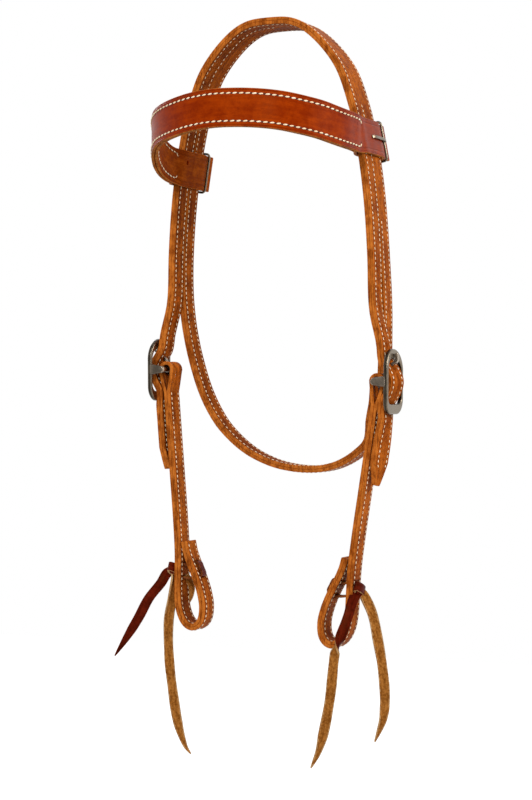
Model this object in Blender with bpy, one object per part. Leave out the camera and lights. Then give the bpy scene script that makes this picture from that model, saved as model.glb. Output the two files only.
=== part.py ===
"""Western headstall: a doubled and stitched leather crown that splits into cheek billets and a
throatlatch, a browband clasped round it, and two buckled cheek straps that end in tied bit loops.

Metres, +Z up. The origin is the underside of the crown, where it rests on the poll. The browband
faces -Y, and +X is the right-hand side of a viewer who faces the browband.
"""
import math

import bmesh
import bpy
from mathutils import Matrix, Vector, geometry

# Leather
leather = 0.0024  # one layer
layer_gap = 0.0003  # between layers that touch
strap_total = 2 * leather + layer_gap
crown_width = 0.033
slit = 0.0007
half_width = (crown_width - slit) / 2
half_centre = (crown_width + slit) / 4
edge_round = 0.0005
station_step = 0.022
station_turn = math.radians(6.5)

# Crown and its route down to the buckles
head_half_width = 0.088
drop_to_bar = {"left": 0.2595, "right": 0.2695}
crown_flat = 0.007  # level stretch each way from the poll
crown_route_shares = (
    (0.153, 0.0012), (0.295, 0.0143), (0.460, 0.0590), (0.628, 0.1250), (0.699, 0.1770),
    (0.778, 0.2610), (0.858, 0.3910), (0.908, 0.5200), (0.937, 0.6610), (0.952, 0.8020),
)
slit_start_share = 0.261

# Throatlatch
throat_drop = 0.3395
throat_set_back = 0.042
throat_sway = 0.005
lap_to = 7  # the right rear half ends at this place of the route, counted from the top
lap_end = 4  # and the throatlatch's end laps inside it up to this one
throat_route_shares = {
    "left": (
        (0.938, 0.590, 0.00), (0.925, 0.645, 0.02), (0.905, 0.690, 0.05), (0.875, 0.745, 0.13),
        (0.825, 0.820, 0.32), (0.745, 0.885, 0.55), (0.640, 0.928, 0.72), (0.505, 0.962, 0.86),
        (0.330, 0.986, 0.95), (0.160, 0.997, 0.99),
    ),
    "right": (
        (0.953, 0.590, 0.00), (0.960, 0.645, 0.00), (0.960, 0.690, 0.00), (0.950, 0.745, 0.04),
        (0.922, 0.800, 0.14), (0.875, 0.850, 0.30), (0.800, 0.893, 0.50), (0.672, 0.932, 0.70),
        (0.515, 0.963, 0.86), (0.330, 0.986, 0.95), (0.160, 0.997, 0.99),
    ),
}

# Browband
brow_width = 0.0275
brow_reach = 0.1095
brow_half_span = 0.0755
brow_route_shares = (
    (1.005, 0.245), (1.003, 0.330), (0.995, 0.430), (0.957, 0.550), (0.877, 0.670),
    (0.757, 0.780), (0.606, 0.870), (0.424, 0.940), (0.217, 0.985),
)
brow_front_level = -0.0760
brow_end_drop = {"left": 0.0285, "right": 0.0125}
brow_drop_shares = {
    "left": (0.98, 0.93, 0.81, 0.60, 0.38, 0.25, 0.18, 0.11, 0.04),
    "right": (0.97, 0.92, 0.89, 0.78, 0.57, 0.38, 0.19, 0.07, 0.01),
}
tab_clear = 0.0005
tab_hole = 0.0032
fin_reach = 0.0065

# Clasp behind the crown's rear edge
clasp_wire = 0.0018
clasp_corner = 0.0026
clasp_clear = 0.0005  # above and below the tabs
clasp_side_clear = 0.0012
clasp_eye = 0.0007  # wall of the tongue's eye
clasp_tongue_width = 0.0022
clasp_tongue_thick = 0.0012
clasp_tongue_reach = 0.0255

# Cheek buckle
frame_height = 0.0480
frame_width = 0.0325
frame_plate = 0.0034
frame_end = 0.0075
frame_rail = 0.0028
frame_bow = 0.0010
frame_corner_shares = (0.47, 0.30)  # above and below, of the width
bar_diameter = 0.0050
bar_offset = 0.0096  # bar centre to the middle of the frame plate
lug_root = 0.0086
lug_round = 0.0003  # metal round the bar's end
lug_wall = 0.0030
billet_bulge = 0.0033  # how far the billet arches clear of the fold
tongue_width = 0.0032
tongue_thick = 0.0022
tongue_eye = 0.0018
tongue_clear = 0.0004
hole_diameter = 0.0036
hole_pitch = 0.0144
tongue_hole_shares = (0.68, 0.52)  # level above the bar and length, of half the opening
holes_above = 5
holes_below = 2
billet_clear = 0.0005
billet_tail = 0.0765
billet_point = 0.015

# Cheek strap and bit loop, measured in the strap's own plane from the bar
cheek_lean = {"left": math.radians(4.6), "right": math.radians(9.0)}
fold_clear = 0.0004
slot_width = 0.0052
slot_reach = 0.0085
cheek_length = 0.2000
loop_reach = 0.0195
cheek_route_shares = (
    (0.000, 0.085), (0.000, 0.230), (0.000, 0.400), (0.000, 0.570), (-0.030, 0.700),
    (-0.110, 0.790), (-0.180, 0.862), (-0.160, 0.925), (0.040, 0.975), (0.370, 0.994),
    (0.710, 0.975), (0.870, 0.925), (0.830, 0.868), (0.685, 0.812), (0.490, 0.757),
    (0.340, 0.708), (0.277, 0.665),
)

# Tie thongs
thong_width = 0.0065
thong_thick = 0.0018
thong_clear = 0.0005
thong_middle_share = 0.775  # of the cheek strap's length, from the bar
thong_apart = 0.0100  # between the lace's two passes through the strap
collar_depth = 0.0095
collar_width = 0.0125
collar_height = 0.0124
tail_width = 0.0080
tail_point = 0.020
tail_step = 0.012
tail_twist_share = 0.22
overrun = 0.004

# Routes of the hanging thong ends, measured from the middle of their collar, each with its width
# direction at the collar and below
facing_camera = (0.906, 0.423, 0.0)
tail_routes = {
    "thong_tail_front_left": ((
        (-0.0047, -0.0014, -0.0030), (-0.0084, -0.0046, -0.0106), (-0.0168, -0.0086, -0.0223),
        (-0.0240, -0.0116, -0.0370), (-0.0335, -0.0136, -0.0527), (-0.0435, -0.0146, -0.0675),
    ), ((0.0, 1.0, 0.0), (0.68, 0.32, -0.65))),
    "thong_tail_rear_left": ((
        (0.0011, 0.0000, -0.0067), (-0.0012, 0.0010, -0.0210), (-0.0054, 0.0024, -0.0414),
        (-0.0060, 0.0044, -0.0696), (-0.0032, 0.0054, -0.0960), (0.0012, 0.0054, -0.1198),
        (0.0068, 0.0064, -0.1367), (0.0120, 0.0064, -0.1432),
    ), ((0.0, 1.0, 0.0), facing_camera)),
    "thong_tail_front_right": ((
        (-0.0010, -0.0018, -0.0084), (-0.0024, -0.0086, -0.0123), (-0.0042, -0.0156, -0.0167),
        (-0.0096, -0.0206, -0.0334), (-0.0132, -0.0226, -0.0503), (-0.0164, -0.0216, -0.0777),
        (-0.0228, -0.0196, -0.1034), (-0.0277, -0.0186, -0.1194), (-0.0342, -0.0176, -0.1319),
    ), ((0.0, 1.0, 0.0), facing_camera)),
    "thong_tail_rear_right": ((
        (0.0020, 0.0006, -0.0063), (0.0070, 0.0024, -0.0188), (0.0107, 0.0034, -0.0372),
        (0.0143, 0.0034, -0.0570), (0.0159, 0.0044, -0.0792), (0.0147, 0.0044, -0.0948),
        (0.0111, 0.0044, -0.1054), (0.0075, 0.0054, -0.1132),
    ), ((0.0, 1.0, 0.0), facing_camera)),
}

SIDES = {"left": -1, "right": 1}


def smooth(points, steps=24):
    """A finely divided curve through the points, with each handle a third of the way."""
    last = len(points) - 1
    tangents = []
    for i in range(len(points)):
        before, after = points[max(i - 1, 0)], points[min(i + 1, last)]
        tangents.append((after - before).normalized())
    line = [points[0].copy()]
    for i in range(last):
        reach = (points[i + 1] - points[i]).length / 3
        line += geometry.interpolate_bezier(
            points[i], points[i] + tangents[i] * reach,
            points[i + 1] - tangents[i + 1] * reach, points[i + 1], steps + 1)[1:]
    return line


def thin(line, step=station_step, turn=station_turn):
    """Which places of a fine line to keep: one each time it has run a step or turned enough."""
    kept, run, turned = [0], 0.0, 0.0
    for i in range(1, len(line) - 1):
        here = (line[i] - line[i - 1]).normalized()
        run += (line[i] - line[i - 1]).length
        turned += here.angle((line[i + 1] - line[i]).normalized(), 0.0)
        if run >= step or turned >= turn:
            kept.append(i)
            run, turned = 0.0, 0.0
    if (line[kept[-1]] - line[-1]).length < edge_round * 2:
        kept.pop()
    return kept + [len(line) - 1]


def stations(points, step=station_step, turn=station_turn):
    line = smooth(points)
    return [line[i] for i in thin(line, step, turn)]


def directions(places):
    """The running direction at each place, the mean of the runs on its two sides."""
    found = []
    for i in range(len(places)):
        before, after = places[max(i - 1, 0)], places[min(i + 1, len(places) - 1)]
        found.append((after - before).normalized())
    return found


def frames(places, broad):
    """Each place with its width direction and its face direction."""
    found = []
    for i, (place, run) in enumerate(zip(places, directions(places))):
        hint = broad[i] if isinstance(broad, list) else broad
        across = (hint - run * hint.dot(run)).normalized()
        found.append((place, across, run.cross(across).normalized()))
    return found


def grow(bm, row, places):
    """Extrudes a row of vertices and sets the new ones at the places."""
    edges = [bm.edges.get(pair) for pair in zip(row, row[1:])]
    grown = bmesh.ops.extrude_edge_only(bm, edges=edges)["geom"]
    fresh = {part for part in grown if isinstance(part, bmesh.types.BMVert)}
    following = [
        next(edge.other_vert(vert) for edge in vert.link_edges if edge.other_vert(vert) in fresh)
        for vert in row]
    for vert, place in zip(following, places):
        vert.co = place
    return following


def first_row(bm, places):
    row = [bm.verts.new(place) for place in places]
    for pair in zip(row, row[1:]):
        bm.edges.new(pair)
    return row


def material(name, colour, roughness, metallic=0.0):
    found = bpy.data.materials.get(name)
    if found:
        return found
    found = bpy.data.materials.new(name)
    found.use_nodes = True
    shader = found.node_tree.nodes["Principled BSDF"]
    shader.inputs["Base Color"].default_value = (*colour, 1.0)
    shader.inputs["Roughness"].default_value = roughness
    shader.inputs["Metallic"].default_value = metallic
    return found


def harness_leather():
    return material("harness_leather", (0.38, 0.13, 0.035), 0.55)


def brow_leather():
    return material("russet_leather", (0.42, 0.085, 0.012), 0.38)


def lace_leather():
    return material("latigo_leather", (0.14, 0.02, 0.012), 0.45)


def dark_nickel():
    return material("dark_nickel", (0.36, 0.34, 0.32), 0.32, 1.0)


def named_object(name, bm, finish, smooth_faces=False):
    bmesh.ops.recalc_face_normals(bm, faces=bm.faces)
    mesh = bpy.data.meshes.new(name)
    bm.to_mesh(mesh)
    bm.free()
    mesh.materials.append(finish)
    made = bpy.data.objects.new(name, mesh)
    bpy.context.scene.collection.objects.link(made)
    if smooth_faces:
        mesh.shade_smooth()
        mesh.set_sharp_from_angle(angle=math.radians(35))
    return made


def thicken(made, thickness, bevel=edge_round):
    """Gives a sheet its thickness, half on each side, and eases its cut edges."""
    solidify = made.modifiers.new("thickness", "SOLIDIFY")
    solidify.thickness = thickness
    solidify.offset = 0.0
    solidify.use_even_offset = True
    if bevel:
        ease = made.modifiers.new("eased_edges", "BEVEL")
        ease.width = bevel
        ease.segments = 1
        ease.limit_method = "ANGLE"
        ease.angle_limit = math.radians(60)


def as_cutter(made):
    made.hide_render = True
    made.display_type = "WIRE"
    return made


def cut(made, cutter):
    boolean = made.modifiers.new("cut", "BOOLEAN")
    boolean.operation = "DIFFERENCE"
    boolean.solver = "EXACT"
    boolean.object = as_cutter(cutter)


def strip_rows(framed, widths, lift):
    """The sheet's two edges at each station."""
    return [
        (place + face * lift - across * width / 2, place + face * lift + across * width / 2)
        for (place, across, face), width in zip(framed, widths)]


def strip(name, framed, widths, lift, thickness, finish, bevel=edge_round):
    """A leather strip along framed stations, each with its own width."""
    if not isinstance(widths, list):
        widths = [widths] * len(framed)
    bm = bmesh.new()
    rows = strip_rows(framed, widths, lift)
    row = first_row(bm, rows[0])
    for places in rows[1:]:
        row = grow(bm, row, places)
    made = named_object(name, bm, finish)
    thicken(made, thickness, bevel)
    return made


def pointed(places, width, point, tip_share=0.30):
    """Widths that run in to a rounded point over the last stretch of the route."""
    left, widths = 0.0, [width * tip_share]
    for i in range(len(places) - 1, 0, -1):
        left += (places[i] - places[i - 1]).length
        share = min(left / point, 1.0)
        widths.append(width * (tip_share + (1 - tip_share) * math.sqrt(share * (2 - share))))
    return widths[::-1]


def with_point(places, point, cuts=3):
    """The route with extra places near its end, close enough to draw the point."""
    whole = smooth(places, 8)
    left, tail = 0.0, [whole[-1]]
    targets = [point * (k / cuts) ** 2 for k in range(1, cuts + 1)]
    for i in range(len(whole) - 1, 0, -1):
        run = (whole[i] - whole[i - 1]).length
        while targets and left + run >= targets[0]:
            tail.append(whole[i].lerp(whole[i - 1], (targets[0] - left) / run))
            targets.pop(0)
        left += run
        if not targets:
            break
    kept = [place for place in places if (place - places[-1]).length > point * 1.15]
    return kept + tail[::-1]


def side_point(side, outward, depth, level):
    return Vector((SIDES[side] * outward, depth, level))


def base_top():
    """Level of the interface between the crown's two layers at the poll."""
    return leather + layer_gap / 2


def bar_level(side):
    return -drop_to_bar[side]


def bar_centre(side):
    return side_point(side, head_half_width, -half_centre, bar_level(side))


def fold_outer():
    return bar_diameter / 2 + fold_clear + leather


def in_cheek_plane(side, inward, down, depth=-half_centre):
    """A place in the leaning strap's own plane, from the bar: inward and down."""
    lean = cheek_lean[side]
    outward = head_half_width - inward * math.cos(lean) - down * math.sin(lean)
    level = bar_level(side) - down * math.cos(lean) + inward * math.sin(lean)
    return side_point(side, outward, depth, level)


def crown_side(side, depth):
    """The crown's route from beside the poll down to just above the buckle."""
    drop = drop_to_bar[side] + base_top()
    points = [side_point(side, crown_flat, depth, base_top())]
    points += [
        side_point(side, outward * head_half_width, depth, base_top() - down * drop)
        for outward, down in crown_route_shares]
    return points


def billet_route(side):
    """From the crown's last point through the buckle and down along the cheek strap."""
    opening = frame_height / 2 - frame_end
    plate_inner = bar_offset - frame_plate / 2 - bow_at(opening)
    behind_plate = plate_inner - 2 * billet_clear - strap_total / 2
    over_bar = fold_outer() + billet_clear + billet_bulge + strap_total / 2
    beside = strap_total + layer_gap
    points = crown_side(side, -half_centre)
    for outward, level in (
            (behind_plate * 0.45, opening + frame_end * 1.5), (behind_plate, opening * 0.94),
            (over_bar * 0.78, opening * 0.45), (over_bar, 0.0),
            (over_bar * 0.80, -opening * 0.50)):
        points.append(side_point(
            side, head_half_width + outward, -half_centre, bar_level(side) + level))
    points.append(in_cheek_plane(side, -beside - billet_clear * 0.6, opening))
    for down in (frame_height * 0.56, frame_height * 0.72, frame_height, billet_tail * 0.82,
                 billet_tail):
        points.append(in_cheek_plane(side, -beside, down))
    return points


def throat_place(side, outward, down, back):
    place = side_point(
        side, outward * head_half_width, half_centre + back * throat_set_back,
        base_top() - down * throat_drop)
    place.x += throat_sway * down ** 4 * (1 - outward) / (1 - throat_route_shares[side][-1][0])
    return place


def rear_route(side):
    """The crown's rear half down to where the throatlatch takes over."""
    drop = drop_to_bar[side] + base_top()
    kept = [
        share for share in crown_route_shares
        if share[1] * drop < throat_route_shares[side][0][1] * throat_drop - station_step]
    points = [side_point(side, crown_flat, half_centre, base_top())]
    points += [
        side_point(side, outward * head_half_width, half_centre, base_top() - down * drop)
        for outward, down in kept]
    return points


def throat_route(side, upto=None):
    return [throat_place(side, *shares) for shares in throat_route_shares[side][:upto]]


def long_rear_route():
    """Left rear half, the whole throatlatch and its lap inside the right rear half's end."""
    lowest = throat_place("left", 0.0, 1.0, 1.0)
    rising = throat_route("right")[::-1]
    inboard = strap_total + 2 * layer_gap
    lapped = [
        place + face * inboard
        for place, _, face in frames(rising, Vector((0.0, 1.0, 0.0)))[-lap_to:-lap_end]]
    return rear_route("left") + throat_route("left") + [lowest] + rising[:-lap_to] + lapped


def short_rear_route():
    return rear_route("right") + throat_route("right", lap_to)


def crown_stations(side):
    """Stations shared by both halves, from the poll to where the slit begins."""
    drop = drop_to_bar[side] + base_top()
    points = [point for point in crown_side(side, 0.0)]
    slit_at = base_top() - slit_start_share * drop
    upper = [point for point in points if point.z >= slit_at - edge_round]
    return stations(upper, turn=station_turn * 0.7)


def from_slit(side, points):
    """The part of a half's route below the slit's start."""
    slit_at = base_top() - slit_start_share * (drop_to_bar[side] + base_top())
    first = next(i for i, point in enumerate(points) if point.z < slit_at + edge_round)
    return points[first - 1:], slit_at


def half_frames(side, points, point_length):
    tail, slit_at = from_slit(side, points)
    places = [place for place in stations(tail) if place.z < slit_at - station_step / 4
              or place.y > half_centre + edge_round]
    if point_length:
        places = with_point(places, point_length)
    return frames(places, Vector((0.0, 1.0, 0.0)))


def crown_sheet(name, lift):
    """One sheet: full width over the poll, and below each slit a billet half and a throat half."""
    bm = bmesh.new()
    across = Vector((0.0, 1.0, 0.0))
    edge = crown_width / 2
    halves = {}
    start = None
    for side in SIDES:
        sense = SIDES[side]
        framed = frames(crown_stations(side), across)
        rows = [
            [place + face * sense * lift + across * depth for depth in (-edge, 0.0, edge)]
            for place, _, face in framed]
        if start is None:
            rows[0] = [Vector((place.x, place.y, base_top() + lift)) for place in rows[0]]
            start = row = first_row(bm, rows[0])
        else:
            places = [Vector((place.x, place.y, base_top() + lift)) for place in rows[0]]
            row = grow(bm, start, places)
        for places in rows[1:]:
            row = grow(bm, row, places)
        halves[side] = row
    routes = {
        ("left", 0): (billet_route("left"), billet_point),
        ("right", 0): (billet_route("right"), billet_point),
        ("left", 1): (long_rear_route(), 0.0),
        ("right", 1): (short_rear_route(), 0.0),
    }
    for (side, which), (points, point_length) in routes.items():
        sense = SIDES[side]
        framed = half_frames(side, points, point_length)
        places = [place for place, _, _ in framed]
        widths = [half_width] * len(places)
        if point_length:
            widths = pointed(places, half_width, point_length)
        row = halves[side][which:which + 2]
        for (place, broad, face), width in zip(framed, widths):
            middle = place + face * sense * lift
            row = grow(bm, row, [middle - broad * width / 2, middle + broad * width / 2])
    made = named_object(name, bm, harness_leather())
    thicken(made, leather)
    return made


def peg(name, centre, axis, diameter, length, stretch=None, stretch_length=0.0):
    """A round cutter, or an oval one when stretched along a direction."""
    bm = bmesh.new()
    bmesh.ops.create_cone(
        bm, cap_ends=True, segments=10, radius1=diameter / 2, radius2=diameter / 2, depth=length)
    turn = Vector((0.0, 0.0, 1.0)).rotation_difference(axis).to_matrix().to_4x4()
    bmesh.ops.transform(bm, matrix=Matrix.Translation(centre) @ turn, verts=bm.verts)
    if stretch:
        for vert in bm.verts:
            reach = stretch_length / 2 - diameter / 2
            vert.co += stretch * (reach if (vert.co - centre).dot(stretch) > 0 else -reach)
    return named_object(name, bm, dark_nickel())


def nearest_frame(framed, level):
    return min(framed, key=lambda entry: abs(entry[0].z - level))


def joined(name, makers):
    """Several closed shapes united into one cutter or piece."""
    made = makers[0]
    for other in makers[1:]:
        union = made.modifiers.new("union", "BOOLEAN")
        union.operation = "UNION"
        union.solver = "EXACT"
        union.object = as_cutter(other)
    made.name = name
    return made


def billet_holes(side):
    """Pegs for the row of buckle holes, square to the billet where each one is."""
    line = smooth(billet_route(side))
    framed = frames(line, Vector((0.0, 1.0, 0.0)))
    opening = frame_height / 2 - frame_end
    tongue_hole_level, tongue_hole_length = (share * opening for share in tongue_hole_shares)
    pegs = []
    for k in range(-holes_below - 1, holes_above + 1):
        if k == -1:
            continue
        level = bar_level(side) + tongue_hole_level + k * hole_pitch
        place, across, face = nearest_frame(framed, level)
        run = across.cross(face)
        longer = tongue_hole_length if k == 0 else hole_diameter * 1.35
        broad = tongue_width + 2 * tongue_clear if k == 0 else hole_diameter
        pegs.append(peg(
            f"hole_{side}_{k + holes_below + 1}", place, face, broad, strap_total + 2 * overrun,
            run, longer))
    return pegs


def crown_beside(side, level):
    """Where the crown's base surface lies at a level: how far out, and its upward direction."""
    line = smooth(crown_side(side, 0.0))
    at = min(range(1, len(line)), key=lambda i: abs(line[i].z - level))
    return abs(line[at].x), (line[at - 1] - line[at]).normalized()


def clasp_reach():
    """From the crown's rear edge back to the middle of the clasp ring."""
    return 2 * leather + clasp_wire


def tab_level(side):
    return brow_front_level - brow_end_drop[side]


def tab_points(side):
    """Base route of an end, from the fin behind the crown strap to its front edge. Each place
    goes with how far a layer's middle stands from it and with the strap's width direction."""
    level = tab_level(side)
    outward, upward = crown_beside(side, level)
    paired = (leather + layer_gap) / 2
    apart = strap_total / 2 + tab_clear + leather / 2
    back = crown_width / 2
    depths = (
        (back + clasp_reach() + fin_reach, paired), (back + clasp_reach(), paired),
        (back + clasp_reach() / 2, paired * 1.9), (back, apart), (0.0, apart), (-back, apart))
    return [(side_point(side, outward, depth, level), spread, upward) for depth, spread in depths]


def brow_points(side):
    """The browband's stitched stretch, from beside the crown round to the front."""
    paired = (leather + layer_gap) / 2
    upright = Vector((0.0, 0.0, 1.0))
    return [
        (side_point(side, outward * brow_half_span, -reach * brow_reach,
                    brow_front_level - drop * brow_end_drop[side]), paired, upright)
        for (outward, reach), drop in zip(brow_route_shares, brow_drop_shares[side])]


def brow_base():
    """Stations of the browband's base surface, left fin to right fin, each framed and with its
    layers' spread."""
    left = tab_points("left") + brow_points("left")
    right = tab_points("right") + brow_points("right")
    front = (Vector((0.0, -brow_reach, brow_front_level)), *right[-1][1:])
    route = left + [front] + right[::-1]
    steps = 12
    line = smooth([entry[0] for entry in route], steps)
    spreads, hints = [route[0][1]], [route[0][2]]
    for before, after in zip(route, route[1:]):
        for k in range(1, steps + 1):
            share = (k / steps) ** 2 * (3 - 2 * k / steps)
            spreads.append(before[1] + (after[1] - before[1]) * share)
            hints.append(before[2].lerp(after[2], share))
    tabs = len(tab_points("left")) * steps
    knots = {i for i in range(0, len(line), steps // 2) if min(i, len(line) - 1 - i) <= tabs}
    between = {i for i in thin(line) if min(i, len(line) - 1 - i) > tabs + steps // 4}
    kept = sorted(knots | between)
    framed = frames([line[i] for i in kept], [hints[i] for i in kept])
    return framed, [spreads[i] for i in kept]


def browband_layer(name, outside):
    """One layer of the browband: stitched to the other along the band, apart at the tabs."""
    framed, spreads = brow_base()
    sense = 1 if outside else -1
    lifted = [
        (place + face * spread * sense, across, face)
        for (place, across, face), spread in zip(framed, spreads)]
    return strip(name, lifted, brow_width, 0.0, leather, brow_leather())


def rounded_rectangle(width, height, corners, segments=4):
    """Points of a rectangle with round corners, the upper and the lower ones each of a radius
    of their own, about the origin, anticlockwise."""
    points = []
    for quarter, (sx, sy) in enumerate(((1, 1), (-1, 1), (-1, -1), (1, -1))):
        corner = corners[quarter // 2]
        centre = (sx * (width / 2 - corner), sy * (height / 2 - corner))
        for k in range(segments + 1):
            angle = (quarter + k / segments) * math.pi / 2
            points.append((
                centre[0] + corner * math.cos(angle), centre[1] + corner * math.sin(angle)))
    return points


def wire_loop(name, path, wire, finish, sides=8):
    """A closed wire along the path, its round section swept by a curve's bevel."""
    curve = bpy.data.curves.new(name, "CURVE")
    curve.dimensions = "3D"
    curve.bevel_depth = wire / 2
    curve.bevel_resolution = (sides - 4) // 2
    spline = curve.splines.new("POLY")
    spline.points.add(len(path) - 1)
    for point, place in zip(spline.points, path):
        point.co = (*place, 1.0)
    spline.use_cyclic_u = True
    curve.materials.append(finish)
    made = bpy.data.objects.new(name, curve)
    bpy.context.scene.collection.objects.link(made)
    return made


def clasp_centre(side):
    outward, _ = crown_beside(side, tab_level(side))
    return side_point(side, outward, crown_width / 2 + clasp_reach(), tab_level(side))


def clasp_ring(side):
    """A wire ring round the two tab ends, close behind the crown's rear edge."""
    inner_width = strap_total + 2 * clasp_side_clear
    inner_height = brow_width + 2 * clasp_clear
    outline = rounded_rectangle(
        inner_width + clasp_wire, inner_height + clasp_wire, (clasp_corner, clasp_corner), 3)
    centre = clasp_centre(side)
    _, upward = crown_beside(side, tab_level(side))
    aside = upward.cross(Vector((0.0, 1.0, 0.0)))
    path = [centre + aside * x + upward * z for x, z in outline]
    return wire_loop(f"browband_clasp_ring_{side}", path, clasp_wire, dark_nickel())


def clasp_hinge(side):
    """The ring's outer rail, which the small tongue turns on."""
    _, upward = crown_beside(side, tab_level(side))
    outward = upward.cross(Vector((0.0, 1.0, 0.0))) * -SIDES[side]
    offset = strap_total / 2 + clasp_side_clear + clasp_wire / 2
    return clasp_centre(side) + outward * offset, upward, outward


def revolve_eye(bm, inner, outer, length, axis, centre, segments=14):
    """A short tube round an axis, made by spinning its rectangular section."""
    across = axis.orthogonal().normalized()
    corners = [
        centre + across * radius + axis * reach
        for radius, reach in (
            (inner, -length / 2), (outer, -length / 2), (outer, length / 2), (inner, length / 2))]
    verts = [bm.verts.new(corner) for corner in corners]
    edges = [bm.edges.new((verts[i], verts[(i + 1) % 4])) for i in range(4)]
    bmesh.ops.spin(
        bm, geom=verts + edges, cent=centre, axis=axis, angle=2 * math.pi, steps=segments,
        use_merge=True)
    bmesh.ops.remove_doubles(bm, verts=bm.verts, dist=inner / 100)


def bar_tongue(name, places, broad, width, thick, finish):
    """A flat tongue along a few places."""
    framed = frames(places, broad)
    return strip(name, framed, width, 0.0, thick, finish, bevel=thick / 5)


def buckle_tongue(side):
    """The cheek buckle's tongue: an eye on the bar, a rise through the billet, a tip on the frame."""
    centre = bar_centre(side)
    eye_inner = bar_diameter / 2 + tongue_clear
    eye_outer = eye_inner + tongue_eye
    plate_outer = bar_offset + frame_plate / 2
    plate_inside = frame_height / 2 - frame_end
    resting = plate_outer - bow_at(plate_inside) + layer_gap + tongue_thick / 2
    root = (eye_inner + eye_outer) / 2
    shape = (
        (root * 0.40, root * 0.86), (root * 0.95, root * 2.00),
        (resting * 0.50, plate_inside * 0.66), (resting * 0.80, plate_inside * 0.82),
        (resting, plate_inside - tongue_thick * 0.50), (resting, plate_inside + frame_end * 0.40),
        (resting * 0.98, plate_inside + frame_end * 0.58))
    places = [centre + Vector((SIDES[side] * outward, 0.0, level)) for outward, level in shape]
    blade = bar_tongue(
        f"blade_{side}", places, Vector((0.0, 1.0, 0.0)), tongue_width, tongue_thick,
        dark_nickel())
    bm = bmesh.new()
    revolve_eye(bm, eye_inner, eye_outer, tongue_width, Vector((0.0, 1.0, 0.0)), centre)
    eye = named_object(f"cheek_buckle_tongue_{side}", bm, dark_nickel())
    return joined(f"cheek_buckle_tongue_{side}", [eye, blade])


def bow_at(level):
    """How far the frame plate leans in at a level above or below the bar."""
    return frame_bow * (level / (frame_height / 2)) ** 2


def plate_ring(name, side):
    """The buckle's flat frame: a round-ended outline with its opening, thickened and eased."""
    segments = 5
    corners = [frame_width * share for share in frame_corner_shares]
    outer = rounded_rectangle(frame_width, frame_height, corners, segments)
    opening_width = frame_width - 2 * frame_rail
    opening_height = frame_height - 2 * frame_end
    corners = [corner * 0.60 for corner in corners]
    inner = rounded_rectangle(opening_width, opening_height, corners, segments)
    centre = bar_centre(side) + Vector((SIDES[side] * bar_offset, 0.0, 0.0))
    bm = bmesh.new()
    rings = []
    for outline in (outer, inner):
        verts = []
        for depth, level in outline:
            inward = -SIDES[side] * bow_at(level)
            verts.append(bm.verts.new(centre + Vector((inward, depth, level))))
        rings.append([
            bm.edges.new((verts[i], verts[(i + 1) % len(verts)])) for i in range(len(verts))])
    bmesh.ops.bridge_loops(bm, edges=rings[0] + rings[1])
    made = named_object(name, bm, dark_nickel())
    thicken(made, frame_plate, frame_plate / 4)
    return made


def lug(name, side, front):
    """A tapered ear from a side rail in to the bar's end, round where it holds the bar."""
    centre = bar_centre(side)
    depth = front * (frame_width - frame_rail) / 2
    bm = bmesh.new()
    round_end = bar_diameter / 2 + lug_round
    verts = []
    for k in range(7):
        angle = math.pi / 2 + math.pi * k / 6
        verts.append(bm.verts.new((
            SIDES[side] * round_end * math.cos(angle), 0.0, round_end * math.sin(angle))))
    for level in (-lug_root / 2, lug_root / 2):
        verts.append(bm.verts.new((SIDES[side] * bar_offset, 0.0, level)))
    bm.faces.new(verts)
    bmesh.ops.translate(bm, vec=centre + Vector((0.0, depth, 0.0)), verts=bm.verts)
    made = named_object(name, bm, dark_nickel())
    thicken(made, lug_wall, lug_wall / 5)
    return made


def buckle_frame(side):
    """Frame plate, two ears and the offset bar, cast in one."""
    made = plate_ring(f"cheek_buckle_frame_{side}", side)
    ears = [lug(f"ear_{side}_{front}", side, front) for front in (-1, 1)]
    bm = bmesh.new()
    bmesh.ops.create_cone(
        bm, cap_ends=True, segments=16, radius1=bar_diameter / 2, radius2=bar_diameter / 2,
        depth=frame_width - frame_rail + lug_wall / 2)
    turn = Matrix.Rotation(math.pi / 2, 4, "X")
    bmesh.ops.transform(
        bm, matrix=Matrix.Translation(bar_centre(side)) @ turn, verts=bm.verts)
    bar = named_object(f"bar_{side}", bm, dark_nickel())
    return joined(f"cheek_buckle_frame_{side}", [made, *ears, bar])


def cheek_line(side, lift):
    """One leg of the cheek strap, from just below the bar to the return end of its loop."""
    base = [
        in_cheek_plane(side, inward * loop_reach, down * cheek_length)
        for inward, down in cheek_route_shares]
    framed = frames(stations(base), Vector((0.0, 1.0, 0.0)))
    return [place + face * SIDES[side] * lift for place, _, face in framed]


def cheek_route(side):
    """The strip's whole route: up the inner leg, over the bar and down the outer leg."""
    leg_lift = (leather + layer_gap) / 2
    fold_radius = bar_diameter / 2 + fold_clear + leather / 2
    inner = cheek_line(side, -leg_lift)
    outer = cheek_line(side, leg_lift)
    fold = []
    steps = 10
    for k in range(steps + 1):
        angle = math.pi * k / steps
        fold.append(in_cheek_plane(
            side, fold_radius * math.cos(angle), -fold_radius * math.sin(angle)))
    necks = [
        in_cheek_plane(side, sense * (leg_lift + fold_radius) / 2, fold_radius * 2.05)
        for sense in (1, -1)]
    return inner[::-1] + [necks[0]] + fold + [necks[1]] + outer


def slot_cutter(side):
    """The slot for the tongue in the strap's fold, round at its ends."""
    half = slot_reach + fold_outer() / 2
    middle = in_cheek_plane(side, 0.0, (slot_reach - fold_outer()) / 2)
    bm = bmesh.new()
    bmesh.ops.create_cube(bm, size=1.0)
    scale = Matrix.Diagonal((2 * (fold_outer() + overrun), slot_width, 2 * half, 1.0))
    lean = Matrix.Rotation(SIDES[side] * cheek_lean[side], 4, "Y")
    bmesh.ops.transform(bm, matrix=Matrix.Translation(middle) @ lean @ scale, verts=bm.verts)
    return named_object(f"slot_{side}", bm, dark_nickel())


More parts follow.
